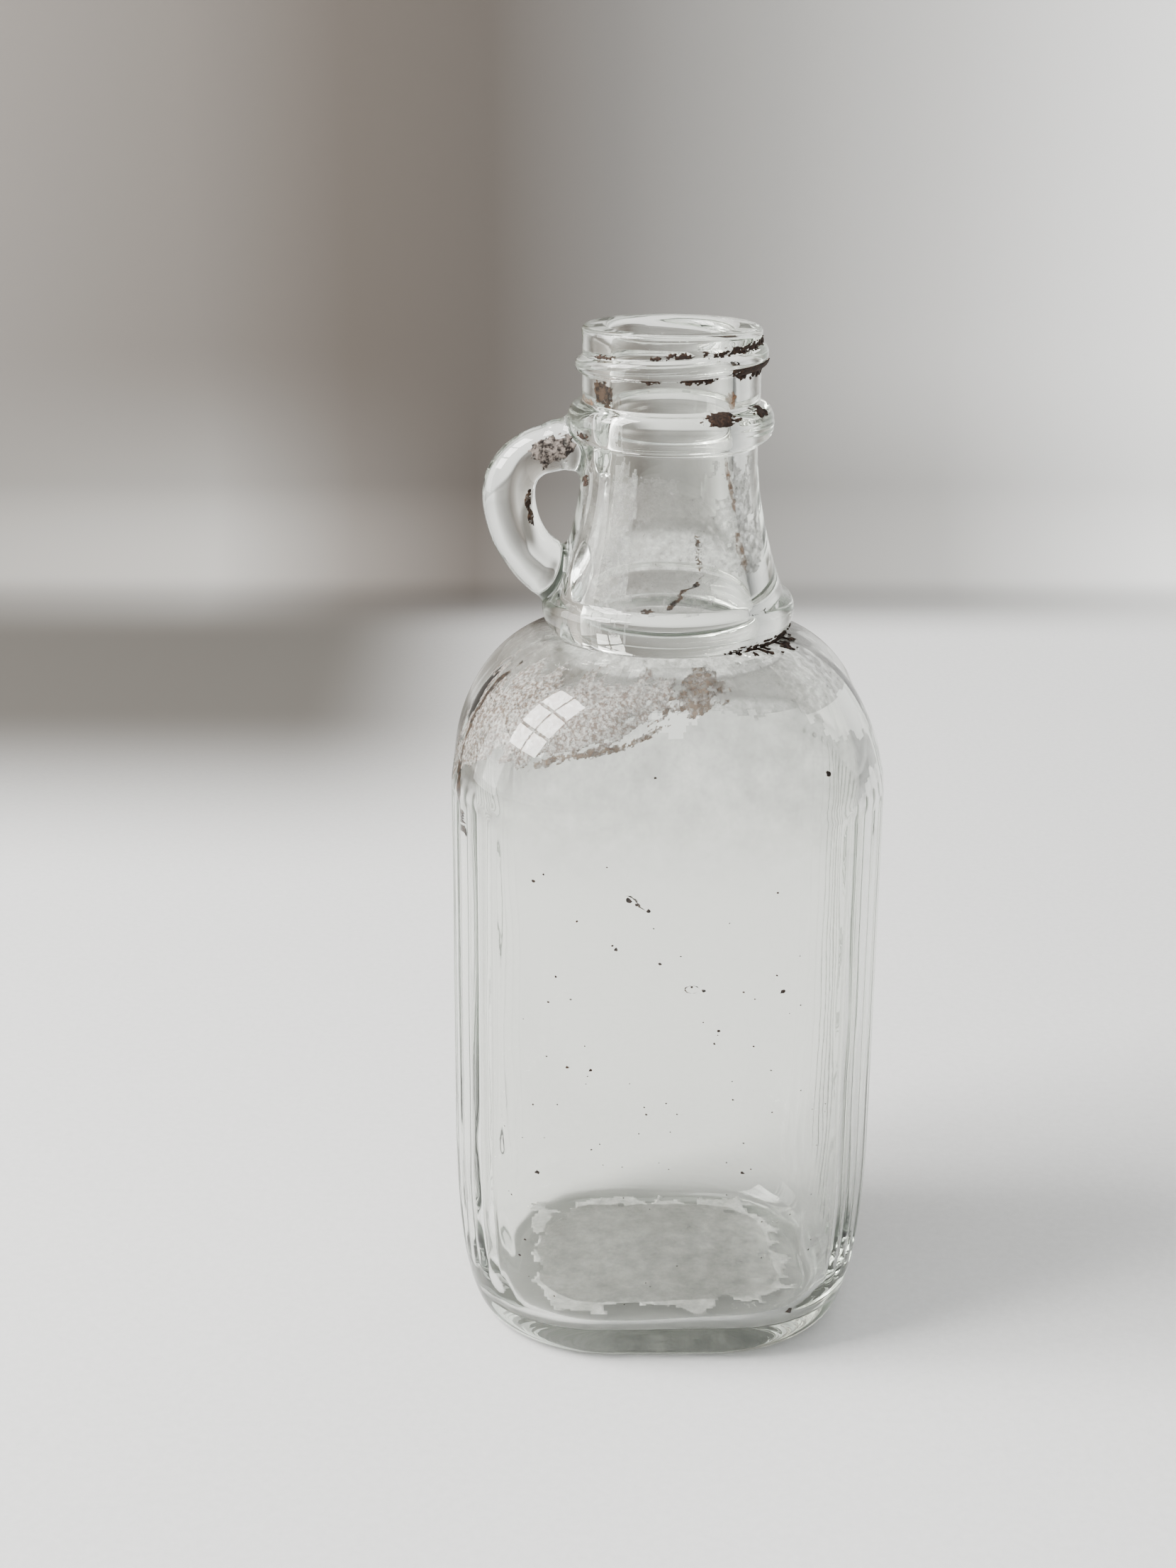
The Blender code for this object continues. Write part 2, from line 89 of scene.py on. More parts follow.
# Glass thickness, and the fillet between floor and wall
WALL = 0.0034
FLOOR_TOP = 0.0046
FILLET_INSET = 0.0027
FILLET_TOP = 0.0145
BORE_R = 0.0087
BORE_FLARE = 0.0050
BORE_POWER = 1.7
PUSH_UP = 0.0012
PUSH_UP_SPAN = (0.0033, 0.0165)

INNER_TOP = SHOULDER_TOP - WALL * 0.6

# Distance in from the wall and height above FLOOR_TOP, from the floor's edge to its middle
FLOOR_PROFILE = (
    (0.0, 0.0), (0.0006, -0.00012), (0.0013, -0.00010), (0.0024, 0.00008), (0.0040, 0.00028),
    (0.0065, 0.00050), (0.0100, 0.00070), (0.0140, 0.00080),
)
FLOOR_MIDDLE = 0.00085
SCUM_RISE = 0.00035

# The lip: radius and depth below the top, up the outside and then down into the bore
LIP_START = HEIGHT - 0.0016
LIP_OUTSIDE = (
    (0.01275, 0.0010), (0.01275, 0.0006), (0.01265, 0.0003), (0.0124, 0.0001), (0.0121, 0.0), (0.0113, 0.0),
)
LIP_INSIDE = ((0.0099, 0.0), (0.0095, 0.00008), (0.0092, 0.00025), (0.0089, 0.0006), (0.00875, 0.0011))

# How deep the loop is from front to back, against its thickness
HANDLE_DEPTH_SHARE = 0.94

# Ripple of the outside
RIPPLE = 0.00003

# The thread's ridge
THREAD_PITCH = 0.0036
THREAD_MEAN_Z = 0.1470
THREAD_TURNS = 1.10
THREAD_HALF_HEIGHT = 0.00140
THREAD_SWELL = 0.00045

# Fine lines round the bead's right side
LINE_DEPTH = 0.00005
LINE_PITCH = 0.00095

# Flutes
FLUTES_PER_QUARTER = 8
FLUTE_DEPTH = 0.00028
FLUTE_FOOT = 0.0110
FLUTE_TOP = 0.0872
LAST_VALLEY_REACH = 0.34
LAST_VALLEY_SHARE = 0.40

# How fine the glass mesh is
COLUMNS_PER_FLUTE = 8
PLAIN_COLUMNS = 22


# ---------------------------------------- curves of the glass
def smooth_step(low, high, value):
    t = min(max((value - low) / (high - low), 0.0), 1.0)
    return t * t * (3.0 - 2.0 * t)


def drop(along, power):
    """1 at along = 0, falling to 0 at along = 1, on a superellipse."""
    return (1.0 - min(max(along, 0.0), 1.0) ** power) ** (1.0 / power)


def quarter_length(section):
    half_x, half_y, corner = section
    return half_x + half_y - 2 * corner + corner * math.pi / 2


BODY_QUARTER = quarter_length((HALF_X, HALF_Y, CORNER))
FLUTED_SHARE = (HALF_Y - CORNER + CORNER * math.pi / 4) / BODY_QUARTER


def section_point(section, quarters):
    """Point and outward normal of a rounded rectangle, a number of quarter turns from +X."""
    half_x, half_y, corner = section
    quarter = int(math.floor(quarters)) % 4
    share = quarters - math.floor(quarters)
    if quarter % 2:
        share = 1.0 - share
    side_x = -1.0 if quarter in (1, 2) else 1.0
    side_y = -1.0 if quarter in (2, 3) else 1.0
    run = share * quarter_length(section)
    flat = half_y - corner
    arc = corner * math.pi / 2
    if run < flat:
        x, y, normal_x, normal_y = half_x, run, 1.0, 0.0
    elif run < flat + arc:
        angle = (run - flat) / corner
        normal_x = math.cos(angle)
        normal_y = math.sin(angle)
        x = half_x - corner + corner * normal_x
        y = half_y - corner + corner * normal_y
    else:
        x, y, normal_x, normal_y = half_x - corner - (run - flat - arc), half_y, 0.0, 1.0
    return side_x * x, side_y * y, side_x * normal_x, side_y * normal_y


def flute_valley(quarters):
    """1 in a valley between two flutes, 0 on a crest and on the plain front and back."""
    share = quarters - math.floor(quarters)
    if int(math.floor(quarters)) % 2:
        share = 1.0 - share
    phase = share / FLUTED_SHARE * FLUTES_PER_QUARTER
    if phase > FLUTES_PER_QUARTER:
        return LAST_VALLEY_SHARE * max(1.0 - (phase - FLUTES_PER_QUARTER) / LAST_VALLEY_REACH, 0.0) ** 2
    fading = 1.0 + (LAST_VALLEY_SHARE - 1.0) * (phase / FLUTES_PER_QUARTER) ** 2
    return fading * (1.0 - abs(math.sin(math.pi * phase))) ** 1.1


def bulge(z, top, foot):
    """0 at both ends of a rounded ring, 1 at its middle."""
    rise = (z - (top + foot) / 2) / ((top - foot) / 2)
    return max(1.0 - rise * rise, 0.0) ** RING_POWER


def outer_section(z):
    """The outside without thread and flutes: half width, half depth and corner radius."""
    if z < HEEL_TOP:
        inset = HEEL_INSET * (1.0 - drop(1.0 - z / HEEL_TOP, HEEL_POWER))
        corner = CORNER + (BASE_CORNER - CORNER) * inset / HEEL_INSET
        return HALF_X - inset, HALF_Y - inset, corner
    if z <= SHOULDER_FOOT:
        return HALF_X, HALF_Y, CORNER
    if z < SHOULDER_TOP:
        spread = drop((z - SHOULDER_FOOT) / (SHOULDER_TOP - SHOULDER_FOOT), SHOULDER_POWER)
        return tuple(SHOULDER_TOP_R + (size - SHOULDER_TOP_R) * spread for size in (HALF_X, HALF_Y, CORNER))
    radius = turned_radius(z)
    return radius, radius, radius


def turned_radius(z):
    """Outside radius of the turned part, from the collar up to the lip."""
    if z <= COLLAR_TOP:
        rise = min(max((z - SHOULDER_TOP) / (COLLAR_TOP - SHOULDER_TOP), 0.0), 1.0)
        ring = (1.0 - (2.0 * rise ** COLLAR_SKEW - 1.0) ** 2) ** RING_POWER
        edge = SHOULDER_TOP_R + (NECK_TOP_R + NECK_FLARE - SHOULDER_TOP_R) * rise
        return edge + (COLLAR_R - edge) * ring
    if z <= BEAD_FOOT:
        down = (BEAD_FOOT - z) / (BEAD_FOOT - COLLAR_TOP)
        return NECK_TOP_R + NECK_FLARE * down ** NECK_POWER
    if z <= BEAD_TOP:
        return BARREL_R + (BEAD_R - BARREL_R) * bulge(z, BEAD_TOP, BEAD_FOOT)
    return BARREL_R


def bore_radius(z):
    """Inside of the finish and neck."""
    if z > BEAD_FOOT:
        return BORE_R
    down = (BEAD_FOOT - z) / (BEAD_FOOT - SHOULDER_TOP)
    return BORE_R + BORE_FLARE * down ** BORE_POWER


def sharp_inner_section(z):
    """The inside before its turn into the neck is drawn out."""
    if z <= SHOULDER_FOOT:
        half_x, half_y, corner = outer_section(z)
        climb = (FILLET_TOP - z) / (FILLET_TOP - FLOOR_TOP)
        inset = WALL + FILLET_INSET * (1.0 - drop(climb, 2.5))
        return half_x - inset, half_y - inset, corner - inset
    if z < INNER_TOP:
        spread = drop((z - SHOULDER_FOOT) / (INNER_TOP - SHOULDER_FOOT), SHOULDER_POWER)
        radius = bore_radius(INNER_TOP)
        return tuple(radius + (size - WALL - radius) * spread for size in (HALF_X, HALF_Y, CORNER))
    radius = bore_radius(z)
    return radius, radius, radius


def drawn_out_section(z):
    """The inside, its turn from shoulder to neck drawn out as blown glass does."""
    soften = 0.0032 * smooth_step(SHOULDER_FOOT + 0.004, SHOULDER_FOOT + 0.014, z)
    soften *= smooth_step(COLLAR_TOP + 0.014, COLLAR_TOP + 0.004, z)
    total = np.zeros(3)
    weights = 0.0
    for step in range(-6, 7):
        weight = math.exp(-0.5 * (step / 2.6) ** 2)
        total += weight * np.array(sharp_inner_section(z + soften * step / 6))
        weights += weight
    return total / weights


INNER_STEP = 0.0001
INNER_SECTIONS = [drawn_out_section(INNER_STEP * i) for i in range(int(HEIGHT / INNER_STEP) + 2)]


def inner_section(z):
    place = min(max(z, 0.0), HEIGHT) / INNER_STEP
    i = int(place)
    first, second = INNER_SECTIONS[i], INNER_SECTIONS[i + 1]
    return tuple(first + (second - first) * (place - i))


def thread_centre(quarters):
    """Height and half height of the ridge's turns at a place round the finish."""
    turns = []
    for lap in (-1, 0, 1):
        turn = (quarters - 3.0) / 4.0 + lap
        if abs(turn) < THREAD_TURNS / 2 + 0.06:
            fade = smooth_step(THREAD_TURNS / 2 + 0.05, THREAD_TURNS / 2 - 0.07, abs(turn))
            half = THREAD_HALF_HEIGHT + THREAD_SWELL * turn
            turns.append((THREAD_MEAN_Z + THREAD_PITCH * turn, half, fade))
    return turns


def thread_lift(quarters, z):
    """How far the ridge stands off the barrel."""
    lift = 0.0
    for centre, half, fade in thread_centre(quarters):
        across = abs(z - centre) / half
        if across < 1.0:
            lift = max(lift, fade * (THREAD_R - BARREL_R) * (1.0 - across ** 2.6) ** 0.75)
    return lift


def outside_point(quarters, z):
    """A point on the finished outside of the glass."""
    x, y, normal_x, normal_y = section_point(outer_section(z), quarters)
    lift = 0.0
    if z > BEAD_TOP:
        lift += thread_lift(quarters % 4.0, z)
    if FLUTE_FOOT - 0.004 < z < FLUTE_TOP:
        reach = smooth_step(FLUTE_FOOT - 0.003, FLUTE_FOOT + 0.006, z)
        reach *= smooth_step(FLUTE_TOP, FLUTE_TOP - 0.0018, z)
        lift -= FLUTE_DEPTH * flute_valley(quarters) * reach
    if BEAD_FOOT < z < BEAD_TOP:
        worn = smooth_step(3.30, 3.60, quarters % 4.0) + smooth_step(0.30, 0.10, quarters % 4.0)
        lift -= LINE_DEPTH * worn * (1.0 - math.cos(math.tau * (z - BEAD_FOOT) / LINE_PITCH))
    ripple = noise.noise(Vector((x * 90, y * 90, z * 45))) * RIPPLE
    lift -= RIPPLE + ripple
    return Vector((x + normal_x * lift, y + normal_y * lift, z))


def inside_point(quarters, z):
    """A point on the inside of the glass, which is a little wavy, as blown glass is."""
    section = inner_section(z)
    x, y, normal_x, normal_y = section_point(section, quarters)
    body = smooth_step(SHOULDER_TOP, SHOULDER_FOOT, z)
    wave = noise.noise(Vector((x * 75, y * 75, z * 38 + 7.0))) * 0.00022 * body
    wave += noise.noise(Vector((x * 240, y * 240, z * 90 + 3.0))) * 0.00003 * (0.3 + body)
    low_left = smooth_step(0.042, 0.020, z) * smooth_step(-0.012, -0.024, x)
    wave += noise.noise(Vector((x * 260, y * 260, z * 200))) * 0.00026 * low_left
    fillet = smooth_step(FILLET_TOP + 0.004, FLOOR_TOP, z)
    wave += noise.noise(Vector((x * 55, y * 55, 2.0))) * 0.0011 * fillet
    return Vector((x + normal_x * wave, y + normal_y * wave, z))


# ---------------------------------------- the glass mesh
def column_places():
    """Quarter turns of the mesh's columns, closest together on the fluted sides."""
    fluted = FLUTES_PER_QUARTER * COLUMNS_PER_FLUTE
    shares = [FLUTED_SHARE * i / fluted for i in range(fluted)]
    plain = 1.0 - FLUTED_SHARE
    shares += [FLUTED_SHARE + plain * (i / PLAIN_COLUMNS) ** 1.6 for i in range(PLAIN_COLUMNS)]
    places = []
    for quarter in range(4):
        if quarter % 2:
            places += [quarter + 1.0 - share for share in shares[:0:-1] + [0.0]]
            places[-len(shares):] = [float(quarter)] + places[-len(shares):-1]
        else:
            places += [quarter + share for share in shares]
    return places


def spaced(low, high, count):
    """count values from low up to, but not including, high."""
    return [low + (high - low) * i / count for i in range(count)]


def outer_heights():
    """Rows of the outside, from the table up, close where the shape is fine."""
    heights = [HEEL_TOP * (i / 34) ** 1.7 for i in range(34)]
    heights += spaced(HEEL_TOP, FLUTE_TOP - 0.003, 16)
    heights += spaced(FLUTE_TOP - 0.003, FLUTE_TOP + 0.0005, 12)
    span = SHOULDER_TOP - FLUTE_TOP - 0.0005
    heights += [FLUTE_TOP + 0.0005 + span * math.sin(math.pi / 2 * i / 24) for i in range(24)]
    heights += spaced(SHOULDER_TOP, COLLAR_TOP, 16)
    heights += spaced(COLLAR_TOP, BEAD_FOOT, 30)
    heights += spaced(BEAD_FOOT, BEAD_TOP, 20)
    heights += spaced(BEAD_TOP, LIP_START, 42)
    return heights


def inner_heights():
    """Rows of the inside, from the bore down to the floor's fillet."""
    span = INNER_TOP - SHOULDER_FOOT
    heights = [LIP_START - 0.0006 * i for i in range(1, 10)]
    heights += spaced(heights[-1] - 0.0006, INNER_TOP, 34)
    heights += [SHOULDER_FOOT + span * math.sin(math.pi / 2 * (1 - i / 22)) for i in range(22)]
    heights += spaced(SHOULDER_FOOT, FILLET_TOP + 0.003, 34)
    heights += [FLOOR_TOP + (FILLET_TOP + 0.003 - FLOOR_TOP) * (1 - i / 18) ** 1.8 for i in range(18)]
    return heights


def finished_mesh(bm, name):
    mesh = bpy.data.meshes.new(name)
    bm.to_mesh(mesh)
    bm.free()
    return mesh


def bridge(bm, lower, upper):
    """Outward faces between two rows of equal length."""
    count = len(lower)
    for i in range(count):
        j = (i + 1) % count
        bm.faces.new((lower[i], lower[j], upper[j], upper[i]))


def bridge_half(bm, fine, coarse):
    """Faces from a row to one with half as many columns, over the lip."""
    count = len(coarse)
    for i in range(count):
        j = (i + 1) % count
        first, middle, last = fine[2 * i], fine[2 * i + 1], fine[(2 * i + 2) % len(fine)]
        bm.faces.new((first, middle, coarse[i]))
        bm.faces.new((middle, last, coarse[j], coarse[i]))


def close_centre(bm, row, centre, facing_up):
    """A fan from a row to one point."""
    middle = bm.verts.new(centre)
    count = len(row)
    for i in range(count):
        j = (i + 1) % count
        corners = (row[i], row[j], middle) if facing_up else (row[j], row[i], middle)
        bm.faces.new(corners)


def shrunk(section, inset):
    """A section drawn in by the same amount all round."""
    return section[0] - inset, section[1] - inset, max(section[2] - inset, 0.0008)


def bottle_body():
    """Outside, lip, inside and floor as one closed skin."""
    bm = bmesh.new()
    places = column_places()
    half_places = places[::2]

    def flat_row(section, z, columns):
        return [bm.verts.new((*section_point(section, place)[:2], z)) for place in columns]

    # Underside: a shallow push-up that grows out of the narrow resting ring
    foot = outer_section(0.0)
    underside = []
    for inset in np.linspace(0.0192, 0.0008, 17):
        row = flat_row(shrunk(foot, inset), PUSH_UP * smooth_step(*PUSH_UP_SPAN, inset), places)
        for vert in row:
            ripple = noise.fractal(Vector((vert.co.x, vert.co.y, 0.0)) * 260, 0.8, 2.0, 2)
            vert.co.z += 0.00011 * abs(ripple) * smooth_step(0.0010, 0.0040, inset)
        underside.append(row)
    close_centre(bm, underside[0], (0, 0, PUSH_UP), facing_up=False)
    rows = underside
    for z in outer_heights():
        rows.append([bm.verts.new(outside_point(place, max(z, 0.0002))) for place in places])
    # Flat sealing lip with a rolled edge outside and a soft one inside
    for radius, below in LIP_OUTSIDE:
        rows.append(flat_row((radius,) * 3, HEIGHT - below, places))
    for lower, upper in zip(rows, rows[1:]):
        bridge(bm, lower, upper)
    inner = [flat_row((radius,) * 3, HEIGHT - below, half_places) for radius, below in LIP_INSIDE]
    bridge_half(bm, rows[-1], inner[0])
    for z in inner_heights():
        inner.append([bm.verts.new(inside_point(place, z)) for place in half_places])
    floor = inner_section(FLOOR_TOP)
    for inset, rise in FLOOR_PROFILE:
        z = FLOOR_TOP + rise
        row = []
        for place in half_places:
            x, y = section_point(shrunk(floor, inset), place)[:2]
            x, y = Vector((x, y)) * (1.0 + 0.02 * noise.noise(Vector((x * 60, y * 60, 4.0))))
            row.append(bm.verts.new((x, y, z + 0.00006 * noise.noise(Vector((x * 330, y * 330, 9.0))))))
        inner.append(row)
    for upper, lower in zip(inner, inner[1:]):
        bridge(bm, upper, lower)
    close_centre(bm, inner[-1], (0, 0, FLOOR_TOP + FLOOR_MIDDLE), facing_up=True)
    return finished_mesh(bm, "glass_body")


def handle_stations():
    """(x, z, half thickness) along the loop, from inside the bead round to inside the collar."""
    return [
        (-0.0100, 0.1343, 0.0041), (-0.0126, 0.1346, 0.0040), (-0.0151, 0.1347, 0.0038),
        (-0.0173, 0.1341, 0.0035), (-0.0194, 0.1334, 0.0034), (-0.0214, 0.1319, 0.0035),
        (-0.0227, 0.1298, 0.0037), (-0.0231, 0.1274, 0.0038), (-0.0228, 0.1248, 0.0038),
        (-0.0220, 0.1222, 0.0038), (-0.0207, 0.1199, 0.0038), (-0.0192, 0.1181, 0.0040),
        (-0.0176, 0.1168, 0.0042), (-0.0158, 0.1156, 0.0044), (-0.0132, 0.1146, 0.0044),
    ]


def catmull(points, steps):
    """A smooth run of points through the stations."""
    out = []
    padded = [points[0]] + points + [points[-1]]
    for i in range(len(points) - 1):
        p0, p1, p2, p3 = (np.array(padded[i + k]) for k in range(4))
        for step in range(steps):
            t = step / steps
            out.append(0.5 * (2 * p1 + (p2 - p0) * t + (2 * p0 - 5 * p1 + 4 * p2 - p3) * t * t
                              + (3 * p1 - p0 - 3 * p2 + p3) * t ** 3))
    out.append(np.array(points[-1]))
    return out


HANDLE_LINE = catmull(handle_stations(), 6)


def handle_offset(behind, ahead, half, angle):
    """From the loop's middle line to its skin, at an angle round it."""
    along = Vector((ahead[0] - behind[0], 0.0, ahead[1] - behind[1])).normalized()
    across = Vector((along.z, 0.0, -along.x))
    depth = half * HANDLE_DEPTH_SHARE * math.sin(angle)
    return across * (half * math.cos(angle)) + Vector((0, 1, 0)) * depth


def handle_mesh():
    """The finger loop as a closed tube, a little narrower from front to back than it is thick."""
    around = 44
    line = HANDLE_LINE
    bm = bmesh.new()
    rings = []
    for i, (x, z, half) in enumerate(line):
        ahead = line[min(i + 1, len(line) - 1)]
        behind = line[max(i - 1, 0)]
        ring = []
        for k in range(around):
            offset = handle_offset(behind, ahead, half, math.tau * k / around)
            ring.append(bm.verts.new(Vector((x, 0.0, z)) + offset))
        rings.append(ring)
    for first, second in zip(rings, rings[1:]):
        bridge(bm, first, second)
    close_centre(bm, rings[0], (line[0][0], 0, line[0][1]), facing_up=False)
    close_centre(bm, rings[-1], (line[-1][0], 0, line[-1][1]), facing_up=True)
    bmesh.ops.recalc_face_normals(bm, faces=bm.faces)
    return finished_mesh(bm, "glass_handle")


def coordinates(mesh):
    flat = np.zeros(len(mesh.vertices) * 3, np.float64)
    mesh.vertices.foreach_get("co", flat)
    return flat.reshape(-1, 3)


def search_tree(points):
    tree = kdtree.KDTree(len(points))
    for i, point in enumerate(points):
        tree.insert(point, i)
    tree.balance()
    return tree


def melt_joint(mesh, known, reach, rounds):
    """Rounds the crease where two skins were joined: the new points, and their surroundings."""
    tree = search_tree(known)
    points = coordinates(mesh)
    seam_tree = search_tree([p for p in points if tree.find(p)[2] > 1e-6])
    weight = np.zeros(len(points))
    for i, point in enumerate(points):
        distance = seam_tree.find(point)[2]
        if distance < reach:
            weight[i] = smooth_step(reach, reach * 0.15, distance)
    edges = np.zeros(len(mesh.edges) * 2, np.int64)
    mesh.edges.foreach_get("vertices", edges)
    edges = edges.reshape(-1, 2)
    near = (weight[edges[:, 0]] > 0) | (weight[edges[:, 1]] > 0)
    edges = edges[near]
    for _ in range(rounds):
        total = np.zeros_like(points)
        count = np.zeros(len(points))
        for a, b in ((0, 1), (1, 0)):
            np.add.at(total, edges[:, a], points[edges[:, b]])
            np.add.at(count, edges[:, a], 1)
        moved = count > 0
        average = total[moved] / count[moved, None]
        points[moved] += 0.5 * weight[moved, None] * (average - points[moved])
    mesh.vertices.foreach_set("co", points.astype(np.float32).ravel())
    mesh.update()


def new_object(name, data, material=None):
    made = bpy.data.objects.new(name, data)
    bpy.context.scene.collection.objects.link(made)
    if material is not None:
        data.materials.clear()
        data.materials.append(material)
    return made


def glass_bottle(material):
    """Body and handle joined into one skin."""
    body = new_object("glass_bottle", bottle_body())
    handle = new_object("handle_cut", handle_mesh())
    known = np.vstack([coordinates(body.data), coordinates(handle.data)])
    join = body.modifiers.new("Handle", "BOOLEAN")
    join.operation = "UNION"
    join.solver = "MANIFOLD"
    join.object = handle
    graph = bpy.context.evaluated_depsgraph_get()
    mesh = bpy.data.meshes.new_from_object(body.evaluated_get(graph), depsgraph=graph)
    body.modifiers.clear()
    body.data = mesh
    bpy.data.objects.remove(handle, do_unlink=True)
    melt_joint(mesh, known, reach=0.0022, rounds=26)
    mesh.materials.clear()
    mesh.materials.append(material)
    mesh.shade_smooth()
    return body


# ---------------------------------------- materials
def new_material(name):
    material = bpy.data.materials.new(name)
    material.use_nodes = True
    tree = material.node_tree
    return material, tree, tree.nodes["Principled BSDF"]


def add_place(tree, output="Object"):
    """The X, Y and Z of a place, as sockets."""
    place = tree.nodes.new("ShaderNodeTexCoord")
    split = tree.nodes.new("ShaderNodeSeparateXYZ")
    tree.links.new(place.outputs[output], split.inputs["Vector"])
    return split.outputs


def add_noise(tree, scale, detail, rough=0.5, stretch=(1, 1, 1)):
    """Object-space noise, in cells per metre."""
    place = tree.nodes.new("ShaderNodeTexCoord")
    mapping = tree.nodes.new("ShaderNodeMapping")
    mapping.inputs["Scale"].default_value = stretch
    texture = tree.nodes.new("ShaderNodeTexNoise")
    texture.inputs["Scale"].default_value = scale
    texture.inputs["Detail"].default_value = detail
    texture.inputs["Roughness"].default_value = rough
    tree.links.new(place.outputs["Object"], mapping.inputs["Vector"])
    tree.links.new(mapping.outputs["Vector"], texture.inputs["Vector"])
    return texture.outputs["Fac"]


def add_ramp(tree, factor, stops):
    ramp = tree.nodes.new("ShaderNodeValToRGB")
    elements = ramp.color_ramp.elements
    while len(elements) < len(stops):
        elements.new(0.5)
    for element, (position, colour) in zip(elements, stops):
        element.position = position
        element.color = (*colour, 1.0) if isinstance(colour, tuple) else (colour, colour, colour, 1.0)
    tree.links.new(factor, ramp.inputs["Fac"])
    return ramp.outputs["Color"]


def add_bump(tree, shader, height, strength, distance):
    bump = tree.nodes.new("ShaderNodeBump")
    bump.inputs["Strength"].default_value = strength
    bump.inputs["Distance"].default_value = distance
    tree.links.new(height, bump.inputs["Height"])
    tree.links.new(bump.outputs["Normal"], shader.inputs["Normal"])


def glass_material():
    material, tree, shader = new_material("clear_glass")
    shader.inputs["Base Color"].default_value = (0.945, 0.952, 0.932, 1.0)
    shader.inputs["Transmission Weight"].default_value = 1.0
    shader.inputs["IOR"].default_value = 1.51
    smudges = add_noise(tree, 90.0, 5.0, 0.6)
    tree.links.new(add_ramp(tree, smudges, [(0.52, 0.006), (0.75, 0.05)]), shader.inputs["Roughness"])
    add_bump(tree, shader, add_noise(tree, 210.0, 3.0, 0.5), 0.02, 0.0004)
    absorb = tree.nodes.new("ShaderNodeVolumeAbsorption")
    absorb.inputs["Color"].default_value = (0.46, 0.58, 0.44, 1.0)
    absorb.inputs["Density"].default_value = 9.0
    tree.links.new(absorb.outputs["Volume"], tree.nodes["Material Output"].inputs["Volume"])
    return material


def rust_material():
    material, tree, shader = new_material("rust")
    grain = add_noise(tree, 2600.0, 8.0, 0.65)
    colour = add_ramp(tree, grain, [(0.30, (0.012, 0.009, 0.008)), (0.50, (0.045, 0.027, 0.019)),
                                    (0.66, (0.10, 0.060, 0.040)), (0.80, (0.25, 0.15, 0.095))])
    tree.links.new(colour, shader.inputs["Base Color"])
    tree.links.new(add_ramp(tree, grain, [(0.3, 0.75), (0.8, 0.97)]), shader.inputs["Roughness"])
    add_bump(tree, shader, grain, 0.9, 0.0002)
    return material


def film_material(name, colours, grain, tint_grain, thin, thick, strength, fade=None):
    """A dried film: thick in blotches, clear between them, and tinted patch by patch.

    fade is the height where it has thinned out to nothing and the one from which it is full.
    """
    material, tree, shader = new_material(name)
    blotches = add_noise(tree, grain, 9.0, 0.72)
    tint = add_noise(tree, tint_grain, 6.0, 0.65)
    tinted = add_ramp(tree, tint, [(0.42, colours[0]), (0.58, colours[1])])
    tree.links.new(tinted, shader.inputs["Base Color"])
    shader.inputs["Roughness"].default_value = 0.85
    alpha = add_ramp(tree, blotches, [(thin, 0.0), (thick, strength)])
    if fade is not None:
        alpha = add_mix(tree, 1.0, alpha, add_range(tree, add_place(tree)["Z"], *fade), "MULTIPLY")
    tree.links.new(alpha, shader.inputs["Alpha"])
    add_bump(tree, shader, blotches, 0.6, 0.0002)
    return material


# ---------------------------------------- what clings to the glass
def surface_normal(surface, quarters, z):
    turn = 0.004
    step = 0.0001
    round_step = surface(quarters + turn, z) - surface(quarters - turn, z)
    up_step = surface(quarters, z + step) - surface(quarters, z - step)
    return round_step.cross(up_step).normalized()


def crust(name, surface, place, mask, size, cell, lift, thickness, material, slot, nodes):
    """A ragged plate that hugs a surface.

    place(a, b) gives (quarters, z) for a across and b up, both 0 to 1, and mask(a, b) is above 0
    where the crust is, up to 1 where it is thickest. lift goes outward from the surface, so on the
    inside of the glass a lift above 0 puts the crust just within the wall.
    """
    wide = max(int(size[0] / cell), 2)
    tall = max(int(size[1] / cell), 2)
    depth = {}
    for i in range(wide + 1):
        for k in range(tall + 1):
            depth[i, k] = mask(i / wide, k / tall)
    cells = [
        (i, k) for i in range(wide) for k in range(tall)
        if min(depth[i, k], depth[i + 1, k], depth[i, k + 1], depth[i + 1, k + 1]) > 0.0
    ]
    bm = bmesh.new()
    layers = ({}, {})
    side = 1.0 if lift > 0 else -1.0

    def vert(layer, i, k):
        if (i, k) not in layers[layer]:
            quarters, z = place(i / wide, k / tall)
            base = surface(quarters, z)
            normal = surface_normal(surface, quarters, z)
            raised = lift + side * thickness * (0.15 + 0.85 * min(depth[i, k] * 3.0, 1.0)) * layer
            layers[layer][i, k] = bm.verts.new(base + normal * raised)
        return layers[layer][i, k]

    kept = set(cells)
    for i, k in cells:
        ring = ((i, k), (i + 1, k), (i + 1, k + 1), (i, k + 1))
        top = [vert(1, *at) for at in ring]
        low = [vert(0, *at) for at in ring]
        bm.faces.new(top)
        bm.faces.new(low[::-1])
        beside = ((i, k - 1), (i + 1, k), (i, k + 1), (i - 1, k))
        for n, neighbour in enumerate(beside):
            if neighbour not in kept:
                m = (n + 1) % 4
                bm.faces.new((low[n], low[m], top[m], top[n]))
    bmesh.ops.recalc_face_normals(bm, faces=bm.faces)
    mesh = finished_mesh(bm, name)
    mesh.shade_smooth()
    made = new_object(name, mesh, material)
    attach(made, "root")
    if nodes:
        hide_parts(*nodes)


def ragged(seed, grain, amount):
    """Noise from -amount to amount over a crust's own a and b."""
    def value(a, b):
        return noise.fractal(Vector((a * grain[0], b * grain[1], seed)), 0.7, 2.2, 5) * amount
    return value


